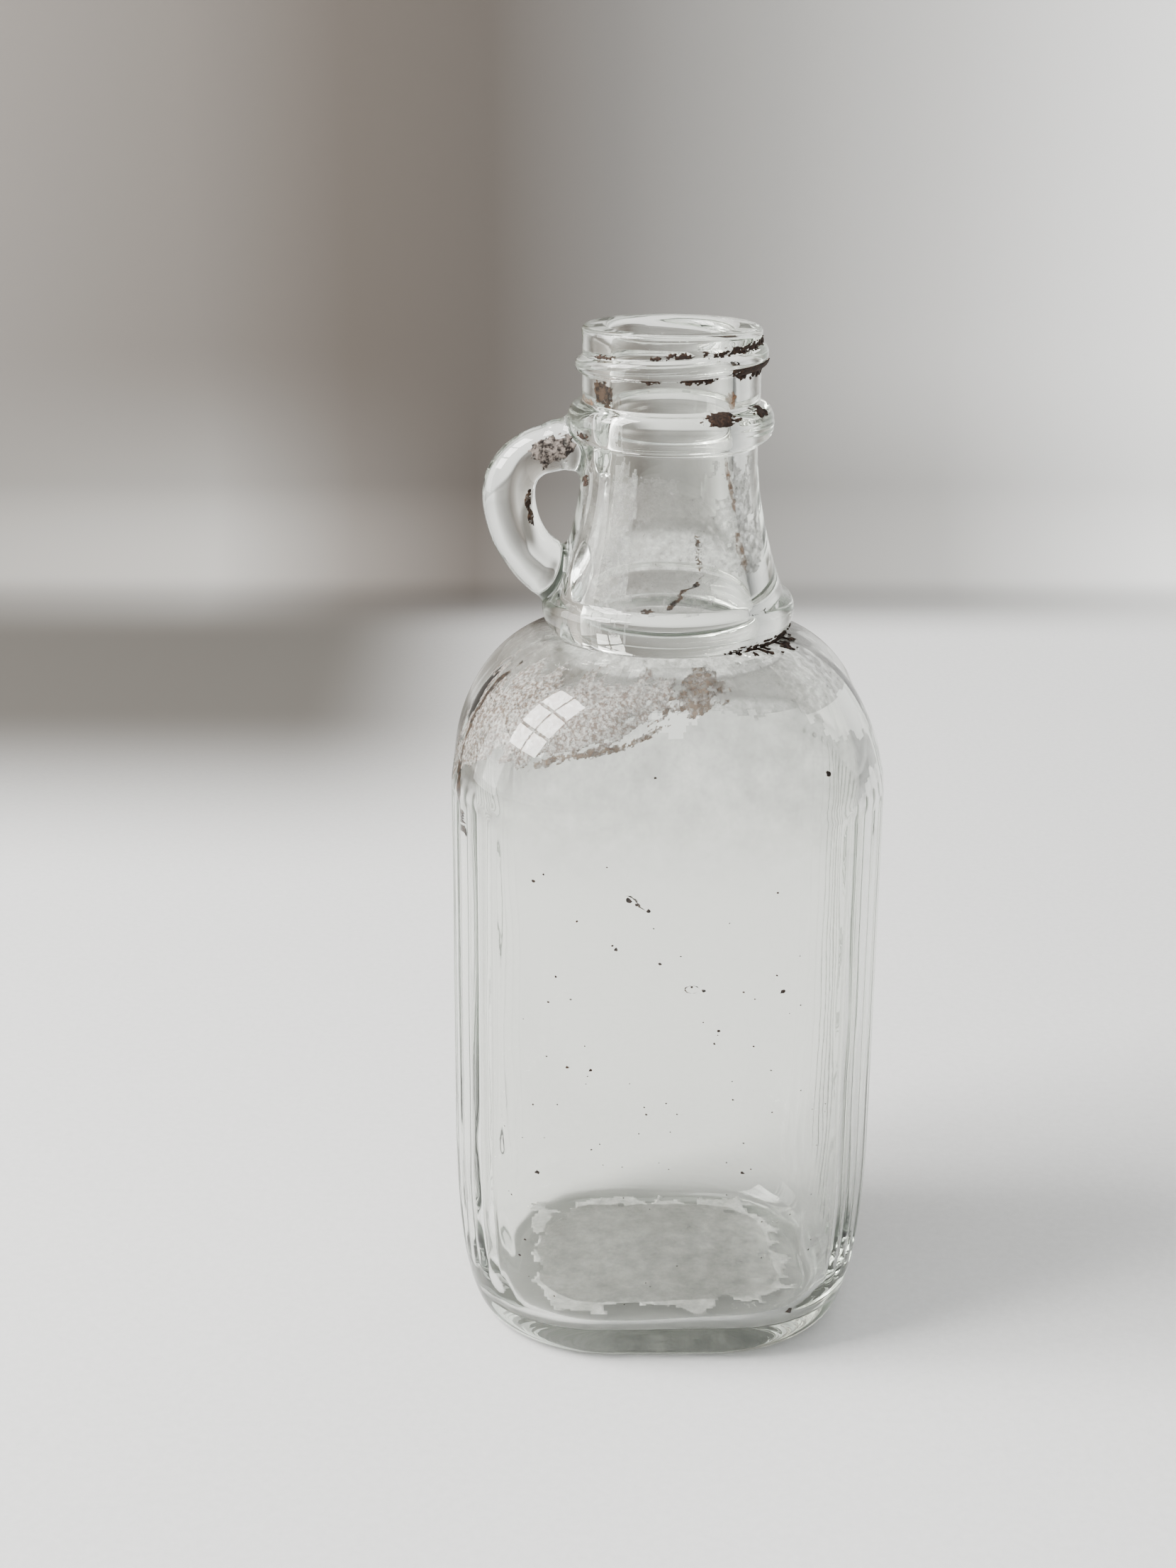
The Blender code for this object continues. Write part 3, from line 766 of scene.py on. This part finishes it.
def blob_mask(seed, grain, amount, power=2.4, fill=0.85):
    """Thickest in the middle, with a ragged edge."""
    rough = ragged(seed, grain, amount)

    def mask(a, b):
        reach = (abs(2 * a - 1) ** power + abs(2 * b - 1) ** power) ** (1 / power)
        return fill - reach + rough(a, b)
    return mask


def hanging_mask(seed, grain, amount):
    """Full along the upper edge and ragged below."""
    rough = ragged(seed, grain, amount)

    def mask(a, b):
        ends = min(a, 1 - a) * 5.0
        return min(ends, 1.0) * 0.75 - (1 - b) * 1.0 + rough(a, b) + 0.12
    return mask


def front(degrees):
    """Quarter turns at an angle from the front towards +X."""
    return 3.0 + degrees / 90.0


def under_thread(first, last, depth, start=0.96):
    """Places that hang from the ridge's underside, from one angle to another."""
    def place(a, b):
        quarters = front(first + (last - first) * a)
        centre, half, _ = thread_centre(quarters % 4.0)[0]
        return quarters, centre - half * start - depth * (1 - b)
    return place


def over_thread(first, last, depth):
    """Places that stand on the ridge, from one angle to another."""
    def place(a, b):
        quarters = front(first + (last - first) * a)
        centre, half, _ = thread_centre(quarters % 4.0)[0]
        return quarters, centre + half * 0.90 + depth * b
    return place


def spread_over(values, a):
    """A value read off evenly spaced ones, for a from 0 to 1."""
    return float(np.interp(a, np.linspace(0.0, 1.0, len(values)), values))


def between(first, last, lows, highs):
    """Places from one angle to another, between a lower and an upper line."""
    def place(a, b):
        low = spread_over(lows, a)
        high = spread_over(highs, a)
        return front(first + (last - first) * a), low + (high - low) * b
    return place


def along(path, width):
    """Places along a path of (degrees from the front, height), a number of degrees wide."""
    def place(a, b):
        angle = spread_over([at[0] for at in path], a)
        return front(angle + (b - 0.5) * width), spread_over([at[1] for at in path], a)
    return place


def streak_mask(seed, grain, amount):
    """Fullest along the middle of a path, broken here and there."""
    rough = ragged(seed, grain, amount)

    def mask(a, b):
        ends = min(a, 1 - a) * 6.0
        return min(ends, 1.0) * 0.9 - abs(2 * b - 1) * 0.75 - 0.15 + rough(a, b)
    return mask


def handle_surface(along_loop, around):
    """A point on the loop: along it from 0 at the bead, and metres round it from its outer side."""
    place = min(max(along_loop, 0.0), 1.0) * (len(HANDLE_LINE) - 1.001)
    i = int(place)
    x, z, half = HANDLE_LINE[i] + (HANDLE_LINE[i + 1] - HANDLE_LINE[i]) * (place - i)
    ahead = HANDLE_LINE[min(i + 2, len(HANDLE_LINE) - 1)]
    behind = HANDLE_LINE[max(i - 1, 0)]
    return Vector((x, 0.0, z)) + handle_offset(behind, ahead, half, -around / half)


RUST_CELL = 0.00009
RUST_LIFT = 0.00003
FILM_CELL = 0.00012


def add_rust(rust):
    """Rust off the lost cap, baked on below and above the thread, on the bead and at the collar.

    Each row has a name, places, a mask, the length and height of the patch, its thickness and
    whether a solid of that name is replaced.
    """
    barrel = math.radians(1.0) * BARREL_R
    bead = math.radians(1.0) * BEAD_R
    pieces = (
        ("rust_under_thread", under_thread(35, 80, 0.0021, 0.30), hanging_mask(3.1, (8, 2), 0.55),
         (45 * barrel, 0.0021), 0.00024, True),
        ("rust_fleck_front", under_thread(0, 27, 0.0008), hanging_mask(5.7, (9, 2), 0.75),
         (27 * barrel, 0.0008), 0.00018, True),
        ("rust_fleck_left", under_thread(-22, -9, 0.0006), hanging_mask(9.3, (4, 2), 0.85),
         (13 * barrel, 0.0006), 0.00014, False),
        ("rust_over_thread", over_thread(-9, 12, 0.0012), blob_mask(12.2, (8, 3), 0.8),
         (21 * barrel, 0.0012), 0.00022, False),
        ("rust_over_thread_mid", over_thread(-17, -9, 0.0009), blob_mask(2.9, (3, 2), 0.6),
         (8 * barrel, 0.0009), 0.00018, False),
        ("rust_over_thread_right", over_thread(16, 84, 0.0013), blob_mask(4.4, (24, 3), 1.3),
         (68 * barrel, 0.0013), 0.00018, False),
        ("rust_over_thread_left", over_thread(-62, -40, 0.0008), blob_mask(7.9, (9, 3), 1.0),
         (22 * barrel, 0.0008), 0.00014, False),
        ("rust_on_bead_front", between(13, 41, [0.1396, 0.1393, 0.1397], [0.1409, 0.14125, 0.1409]),
         blob_mask(2.6, (5, 3), 0.55), (28 * bead, 0.0022), 0.00030, True),
        ("rust_on_bead_right", between(52, 68, [0.1398, 0.1398], [0.1410, 0.1412]),
         blob_mask(8.8, (4, 3), 0.6), (16 * bead, 0.0014), 0.00026, True),
        ("rust_under_collar",
         between(24, 84, [0.1076, 0.1072, 0.1068, 0.1073], [0.1085, 0.1092, 0.1094, 0.1092]),
         blob_mask(6.1, (17, 5), 1.35, 2.4, 0.66), (0.0175, 0.0026), 0.00022, True),
        ("rust_by_handle", between(-78, -66, [0.1290, 0.1296], [0.1312, 0.1312]),
         blob_mask(1.9, (3, 4), 0.8), (0.0026, 0.0022), 0.00014, False),
        ("rust_at_handle_root", between(-66, -54, [0.1366, 0.1366], [0.1376, 0.1376]),
         blob_mask(5.2, (5, 3), 0.9), (0.0029, 0.0010), 0.00016, False),
    )
    for name, place, mask, size, thickness, has_solid in pieces:
        cell = 0.00010 if name == "rust_under_collar" else RUST_CELL
        crust(name, outside_point, place, mask, size, cell, RUST_LIFT, thickness, rust, "rust",
              [name] if has_solid else [])


def add_films():
    """Scale and stains dried on inside the glass, and rust rubbed into the handle."""
    scale = film_material("dried_scale", ((0.84, 0.82, 0.80), (0.32, 0.245, 0.205)), 1400.0, 2000.0,
        0.34, 0.50, 0.90)
    # A grey film, full above the shoulder's foot and thinning out downwards.
    grey_film = film_material("shoulder_grey_film", ((0.46, 0.47, 0.45), (0.33, 0.335, 0.32)), 170.0, 60.0,
        0.30, 0.85, 0.38, (0.073, 0.096))
    veil = film_material("dried_veil", ((0.74, 0.73, 0.71), (0.46, 0.44, 0.42)), 900.0, 150.0,
        0.38, 0.70, 0.50)
    # A whiter, denser film for a strip up the front left of the neck.
    white_strip = film_material("white_strip_film", ((0.90, 0.90, 0.89), (0.74, 0.73, 0.71)), 700.0, 120.0,
        0.34, 0.66, 0.60)
    brown = film_material("brown_stain", ((0.035, 0.022, 0.016), (0.14, 0.09, 0.06)), 1300.0, 900.0,
        0.32, 0.50, 0.97)
    grime = film_material("handle_grime", ((0.02, 0.014, 0.011), (0.30, 0.26, 0.23)), 900.0, 1500.0,
        0.28, 0.50, 0.94)
    smudge = film_material("brown_smudge", ((0.17, 0.115, 0.08), (0.34, 0.26, 0.20)), 1100.0, 500.0,
        0.34, 0.58, 0.82)
    orange = film_material("orange_stain", ((0.42, 0.22, 0.12), (0.52, 0.34, 0.23)), 900.0, 400.0,
        0.34, 0.66, 0.62)

    def film(name, place, mask, size, material, nodes=(), cell=FILM_CELL, surface=inside_point,
             thickness=0.00004, slot="dried_residue"):
        crust(name, surface, place, mask, size, cell, 0.00002, thickness, material, slot, list(nodes))

    film("residue_in_shoulder",
         between(-92, 15, [0.0860, 0.0860, 0.0880, 0.0915, 0.0935, 0.0965, 0.0995, 0.1020],
                 [0.1030, 0.1045, 0.1050, 0.1050]),
         blob_mask(3.7, (10, 3), 0.45, 6.0, 0.80), (0.046, 0.0130), scale, ["residue_in_shoulder"],
         cell=0.00026)
    # A grey film over the front of the upper body, fading out towards its lower edge.
    film("grey_film_in_shoulder",
         between(-86, 70, [0.0700, 0.0690, 0.0700, 0.0720, 0.0740], [0.1050, 0.1050]),
         blob_mask(8.3, (7, 3), 0.50, 9.0, 0.97), (0.066, 0.0350), grey_film, cell=0.0004)
    film("brown_at_scale_end", between(-4, 22, [0.0990, 0.1000, 0.1020], [0.1040, 0.1050, 0.1050]),
         blob_mask(5.5, (5, 4), 0.75, 2.4, 0.95), (0.0095, 0.0044), smudge)
    film("brown_scale_edge",
         between(-44, 0, [0.0918, 0.0945, 0.0960, 0.0990], [0.0934, 0.0958, 0.0970, 0.1003]),
         streak_mask(4.1, (26, 2), 0.9), (0.0195, 0.0012), smudge)
    film("brown_line_left",
         along([(-70, 0.1035), (-74, 0.1000), (-74, 0.0955), (-70, 0.0880), (-64, 0.0790)], 3.4),
         streak_mask(1.3, (16, 1.5), 0.7), (0.026, 0.0016), brown, cell=0.00014)
    film("stain_in_bore", between(-82, -56, [0.1408, 0.1406], [0.1443, 0.1445]),
         blob_mask(6.6, (3, 4), 0.45, 5.0, 0.95), (0.0040, 0.0036), brown, ["stain_in_bore"],
         cell=0.00010)
    film("orange_in_bore_left", between(-118, -78, [0.1388, 0.1386], [0.1418, 0.1414]),
         blob_mask(2.2, (4, 3), 0.5), (0.0060, 0.0028), orange, cell=0.00014)
    film("orange_in_bore_right", between(44, 58, [0.1404, 0.1404], [0.1438, 0.1438]),
         blob_mask(7.1, (2, 4), 0.5), (0.0022, 0.0034), orange, cell=0.00014)
    film("haze_in_neck", between(-100, 90, [0.1080, 0.1095, 0.1120, 0.1140], [0.1335, 0.1340]),
         blob_mask(9.9, (5, 4), 0.6, 6.0), (0.030, 0.0250), veil, cell=0.0003)
    # A whiter, denser strip of film running up the front left of the neck.
    film("white_strip_in_neck",
         along([(-39, 0.1343), (-40, 0.1290), (-40, 0.1220), (-40, 0.1150), (-39, 0.1090)], 28),
         blob_mask(4.9, (3, 7), 0.45, 5.0), (0.026, 0.0048), white_strip, cell=0.00022)
    film("rust_streak_in_neck", along([(45, 0.1350), (49, 0.1316), (53, 0.1281), (55, 0.1253)], 5),
         streak_mask(6.3, (8, 1.5), 0.6), (0.0098, 0.0013), orange, ["rust_streak_in_neck"],
         cell=0.00010, slot="rust")
    film("rust_streak_low", along([(52, 0.1241), (54, 0.1206), (56, 0.1171)], 8),
         streak_mask(7.7, (6, 1.5), 0.65), (0.0075, 0.0018), orange)
    film("crack_in_scum",
         along([(19, 0.1176), (16, 0.1168), (15, 0.1163), (8, 0.1160), (5, 0.1153), (5, 0.1147),
                (0, 0.1141), (-2, 0.1133), (-7, 0.1128)], 5.0),
         streak_mask(2.8, (13, 1.5), 0.75), (0.0085, 0.0010), brown, cell=0.00008)
    film("specks_above_crack", along([(17, 0.1240), (19, 0.1220), (18, 0.1200), (19, 0.1180)], 5.0),
         streak_mask(5.1, (22, 3.5), 1.7), (0.0062, 0.0010), smudge, cell=0.00008)
    film("hair_on_wall",
         along([(-14, 0.0757), (-12, 0.0758), (-10, 0.0751), (-9, 0.0741), (-7, 0.0734)], 0.8),
         streak_mask(6.4, (9, 1.0), 0.6), (0.0036, 0.0004), brown, cell=0.00005)
    turns = [math.tau * n / 14 for n in range(14)]
    ring = [(6 + 2.0 * math.cos(turn), 0.0615 + 0.0006 * math.sin(turn)) for turn in turns]
    film("ring_on_wall", along(ring, 0.5), streak_mask(3.9, (14, 1.0), 0.7), (0.0052, 0.00025), brown,
         cell=0.00005)
    film("haze_at_collar", between(-150, 150, [0.1010, 0.0995, 0.0990, 0.1005], [0.1085, 0.1085]),
         blob_mask(6.9, (9, 3), 0.5, 9.0, 0.95), (0.070, 0.0090), veil, cell=0.0003)
    film("crumbs_in_neck", between(-20, -11, [0.1120, 0.1120], [0.1134, 0.1136]),
         blob_mask(3.3, (4, 4), 1.0), (0.0018, 0.0015), brown, cell=0.00009)
    film("rust_on_handle", lambda a, b: (0.06 + 0.25 * a, 0.0034 + 0.0046 * b),
         blob_mask(8.1, (4, 3), 0.65, 3.2, 0.9), (0.0078, 0.0046), grime, ["rust_on_handle"],
         surface=handle_surface, slot="rust", thickness=0.00010)
    film("rust_inside_loop", lambda a, b: (0.42 + 0.24 * a, 0.0084 + 0.0012 * b),
         streak_mask(5.9, (6, 1.5), 0.7), (0.0072, 0.0012), brown,
         surface=handle_surface, thickness=0.00010)
    # Dried scum on the floor, made near white and dense as painted light on the floor under the glass.
    add_floor_scum_and_light(film_material("floor_scum_and_light", ((0.96, 0.96, 0.94), (0.80, 0.80, 0.77)), 260.0, 90.0,
        0.18, 0.60, 0.88))


def add_floor_scum_and_light(film):
    """A thin film dried on the bottle's floor, near white so that it also serves as painted light on the
    floor.

    It is flat, so the domed floor covers its middle and a ragged ring of it stands clear at the edge.
    """
    floor = inner_section(FLOOR_TOP)
    rough = ragged(11.0, (9, 9), 0.5)

    def floor_point(u, v):
        x = (u - 0.5) * 2 * floor[0]
        y = (v - 0.5) * 2 * floor[1]
        return Vector((x, y, FLOOR_TOP + SCUM_RISE))

    def mask(a, b):
        x = abs(a - 0.5) * 2
        y = abs(b - 0.5) * 2
        return 0.90 - (x ** 4 + y ** 4) ** 0.25 + rough(a, b) * 0.4

    crust("floor_scum_and_light", floor_point, lambda a, b: (a, b), mask, (2 * floor[0], 2 * floor[1]), 0.0005,
          -0.00004, 0.00003, film, "dried_residue", [])


def add_specks(material):
    """Crumbs of dirt on the outside, each a tiny ragged flake."""
    marks = [
        (-35, 0.0780, 5), (-11, 0.0759, 7), (-9, 0.0752, 5), (-6, 0.0743, 6), (-14, 0.0685, 5),
        (-3, 0.0663, 5), (5, 0.0628, 4), (8, 0.0622, 6), (28, 0.0618, 6), (-20, 0.0499, 5),
        (-26, 0.0502, 4), (19, 0.0335, 5), (-34, 0.0328, 6), (36, 0.0083, 9), (41, 0.0930, 8),
        (18, 0.0620, 3), (12, 0.0560, 4), (11, 0.0540, 3), (-29, 0.0640, 3), (-31, 0.0600, 4),
        (-5, 0.0935, 4), (-40, 0.0180, 5), (-38, 0.0210, 4),
    ]
    for _ in range(70):
        spread = noise.random_vector()
        marks.append((spread.x * 44, 0.046 + spread.y * 0.038, 1.6 + abs(spread.z) * 1.2))
    bm = bmesh.new()
    for angle, z, tenths in marks:
        quarters = front(angle)
        point = outside_point(quarters, z)
        normal = surface_normal(outside_point, quarters, z)
        side = normal.cross(Vector((0, 0, 1))).normalized()
        up = side.cross(normal)
        size = tenths * 0.00007
        buried = point - normal * 0.00004
        top = point - normal * 0.00001
        ring = []
        for n in range(9):
            turn = math.tau * n / 9
            rough = 0.45 + 0.9 * abs(noise.noise(Vector((angle + n * 1.7, z * 900, tenths))))
            edge = side * math.cos(turn) * size * rough * 1.3 + up * math.sin(turn) * size * rough
            ring.append((bm.verts.new(buried + edge), bm.verts.new(top + edge * 0.8)))
        for n in range(9):
            m = (n + 1) % 9
            bm.faces.new((ring[n][0], ring[m][0], ring[m][1], ring[n][1]))
        bm.faces.new([pair[1] for pair in ring])
        bm.faces.new([pair[0] for pair in ring[::-1]])
    bmesh.ops.recalc_face_normals(bm, faces=bm.faces)
    made = new_object("dirt_specks", finished_mesh(bm, "dirt_specks"), material)
    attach(made, "root")


# ---------------------------------------- stage
def add_range(tree, value, low, high, smooth=True):
    """0 at low, 1 at high."""
    node = tree.nodes.new("ShaderNodeMapRange")
    node.interpolation_type = "SMOOTHSTEP" if smooth else "LINEAR"
    node.inputs["From Min"].default_value = low
    node.inputs["From Max"].default_value = high
    tree.links.new(value, node.inputs["Value"])
    return node.outputs["Result"]


def add_mix(tree, factor, first, second, blend="MIX"):
    node = tree.nodes.new("ShaderNodeMix")
    node.data_type = "RGBA"
    node.blend_type = blend
    for socket, value in (("Factor", factor), ("A", first), ("B", second)):
        if isinstance(value, bpy.types.NodeSocket):
            tree.links.new(value, node.inputs[socket])
        elif socket == "Factor":
            node.inputs[socket].default_value = value
        else:
            node.inputs[socket].default_value = (*value, 1.0)
    return node.outputs["Result"]


def sweep_material():
    """Pale paper with painted light and shade: greyer where it rises behind the bottle, most of all left of
    the middle, and lighter towards the right.

    The far left of the table and the foot of the rise carry painted soft shade, and the table darkens far
    out to both sides.
    """
    material, tree, shader = new_material("paper_sweep")
    place = add_place(tree)
    across = add_range(tree, place["X"], -0.30, 0.30, smooth=False)
    # Painted shade on the rise, up high and low down: a dark band left of the middle, lighter towards the
    # right.
    upper = add_ramp(tree, across, [
        (0.15, (0.235, 0.22, 0.205)), (0.27, (0.195, 0.18, 0.165)), (0.36, (0.135, 0.12, 0.107)),
        (0.44, (0.118, 0.106, 0.096)), (0.51, (0.175, 0.168, 0.16)), (0.60, (0.29, 0.285, 0.275)),
        (0.70, (0.47, 0.465, 0.455)), (0.83, (0.78, 0.78, 0.77))])
    lower = add_ramp(tree, across, [
        (0.15, (0.29, 0.28, 0.265)), (0.28, (0.36, 0.35, 0.335)), (0.36, (0.20, 0.185, 0.17)),
        (0.43, (0.12, 0.108, 0.098)), (0.52, (0.21, 0.205, 0.195)), (0.60, (0.24, 0.235, 0.225)),
        (0.70, (0.33, 0.325, 0.315)), (0.83, (0.66, 0.66, 0.65))])
    wall = add_mix(tree, add_range(tree, place["Z"], 0.085, 0.012), upper, lower)
    fibres = add_ramp(tree, add_noise(tree, 700.0, 8.0, 0.65),
                      [(0.3, (0.60, 0.60, 0.596)), (0.7, (0.645, 0.645, 0.641))])
    # Painted shade: the table darkens far out to the left and the right.
    sides = add_ramp(tree, add_range(tree, place["X"], -1.0, 1.0, smooth=False),
                     [(0.10, 0.30), (0.38, 1.0), (0.62, 1.0), (0.90, 0.26)])
    lit = add_mix(tree, 1.0, fibres, sides, "MULTIPLY")
    shaded = add_range(tree, place["Y"], 0.17, 0.32)
    left = add_range(tree, place["X"], 0.01, -0.09)
    shade = add_mix(tree, 1.0, shaded, left, "MULTIPLY")
    table = add_mix(tree, shade, lit, (0.125, 0.118, 0.108))
    # Painted shade along the foot of the rise: the table darkens into the rise's lower colours.
    foot = add_range(tree, place["Y"], 0.395, 0.458)
    foot_shade = add_mix(tree, 1.0, lower, (0.72, 0.72, 0.72), "MULTIPLY")
    table = add_mix(tree, foot, table, foot_shade)
    rise = add_range(tree, place["Z"], 0.0001, 0.0060)
    tree.links.new(add_mix(tree, rise, table, wall), shader.inputs["Base Color"])
    shader.inputs["Roughness"].default_value = 0.9
    shader.inputs["Specular IOR Level"].default_value = 0.1
    return material


def build_stage():
    """One sheet that lies under the bottle and curves up behind it."""
    back = 0.475
    cove = 0.035
    line = [(-1.4, 0.0), (-0.5, 0.0), (0.2, 0.0)]
    for step in range(0, 19):
        angle = math.radians(90 * step / 18)
        line.append((back - cove + cove * math.sin(angle), cove - cove * math.cos(angle)))
    line += [(back, 0.6), (back, 2.4)]
    bm = bmesh.new()
    rows = [[bm.verts.new((x, y, z - 0.00006)) for x in (-2.2, -0.7, 0.7, 2.2)] for y, z in line]
    for near, far in zip(rows, rows[1:]):
        for i in range(3):
            bm.faces.new((near[i], near[i + 1], far[i + 1], far[i]))
    mesh = finished_mesh(bm, "paper_sweep")
    mesh.shade_smooth()
    new_object("paper_sweep", mesh, sweep_material())


def area_light(name, place, target, size, power, colour=(1, 1, 1)):
    data = bpy.data.lights.new(name, "AREA")
    data.shape = "RECTANGLE"
    data.size, data.size_y = size
    data.energy = power
    data.color = colour
    light = new_object(name, data)
    light.location = place
    light.visible_camera = False
    aim = Vector(target) - Vector(place)
    light.rotation_euler = aim.to_track_quat("-Z", "Y").to_euler()


def window_panes():
    """A tall window high on the left, its panes parted by glazing bars."""
    middle = Vector((-0.95, -0.25, 0.95))
    toward = (Vector((0, 0, 0.07)) - middle).normalized()
    across = toward.cross(Vector((0, 0, 1))).normalized()
    upward = across.cross(toward)
    for column in (-0.5, 0.5):
        for row in (-1, 0, 1):
            place = middle + across * (column * 0.36) + upward * (row * 0.29)
            area_light("window_pane", place, place + toward, (0.32, 0.25), 5.4, (1.0, 0.985, 0.96))


def build_lights():
    world = bpy.data.worlds.new("studio")
    bpy.context.scene.world = world
    world.use_nodes = True
    tree = world.node_tree
    background = tree.nodes["Background"]
    place = add_place(tree, "Generated")
    side = add_ramp(tree, add_range(tree, place["X"], -1.0, 1.0, smooth=False),
                    [(0.10, 1.0), (0.50, (0.60, 0.61, 0.62)), (0.90, (0.24, 0.245, 0.25))])
    height = add_ramp(tree, add_range(tree, place["Z"], -0.6, 0.9, smooth=False),
                      [(0.10, 0.45), (0.50, 0.70), (0.95, 1.0)])
    tree.links.new(add_mix(tree, 1.0, side, height, "MULTIPLY"), background.inputs["Color"])
    background.inputs["Strength"].default_value = 2.15
    window_panes()
    area_light("window_glow", (-1.10, 0.30, 0.30), (0, 0, 0.07), (0.9, 0.6), 6.0, (1.0, 0.99, 0.97))
    bpy.context.scene.view_settings.look = "AgX - Medium High Contrast"
    cycles = bpy.context.scene.cycles
    cycles.max_bounces = 32
    cycles.transmission_bounces = 32
    cycles.glossy_bounces = 16
    cycles.transparent_max_bounces = 32
    cycles.sample_clamp_indirect = 40.0


# ---------------------------------------- camera
CAMERA_DISTANCE = 0.3346
CAMERA_HEIGHT = 0.1952
CAMERA_PITCH = 18.48
CAMERA_YAW = 1.96
CAMERA_ROLL = -0.38
BOTTLE_TURN = 3.05
LENS = 54.08


def build_camera():
    """A short telephoto a hand's height above the table, a little left of the bottle's front."""
    pitch, yaw, roll, turn = (math.radians(v) for v in (CAMERA_PITCH, CAMERA_YAW, CAMERA_ROLL, BOTTLE_TURN))
    right = Vector((math.cos(yaw), math.sin(yaw), 0.0))
    forward = Vector((-math.sin(yaw) * math.cos(pitch), math.cos(yaw) * math.cos(pitch), -math.sin(pitch)))
    up = Vector((-math.sin(yaw) * math.sin(pitch), math.cos(yaw) * math.sin(pitch), math.cos(pitch)))
    tilted_right = right * math.cos(roll) - up * math.sin(roll)
    tilted_up = right * math.sin(roll) + up * math.cos(roll)
    axes = Matrix((tilted_right, tilted_up, -forward)).transposed().to_4x4()
    place = Matrix.Translation((0.0, -CAMERA_DISTANCE, CAMERA_HEIGHT))
    data = bpy.data.cameras.new("camera")
    data.lens = LENS
    data.sensor_width = 36.0
    data.clip_start = 0.01
    camera = new_object("camera", data)
    camera.matrix_world = Matrix.Rotation(-turn, 4, "Z") @ place @ axes
    bpy.context.scene.camera = camera


# ---------------------------------------- build
GLASS_NODES = [
    "sealing_lip", "finish_wall", "screw_thread", "transfer_bead", "neck", "finger_handle", "neck_collar",
    "shoulder", "front_panel", "back_panel", "ribbed_side_left", "ribbed_side_right", "heel", "base",
]

build_camera()
build_stage()
build_lights()
bottle = glass_bottle(glass_material())
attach(bottle, "root")
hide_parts(*GLASS_NODES)
noise.seed_set(7)
rust = rust_material()
add_rust(rust)
add_films()
add_specks(rust)
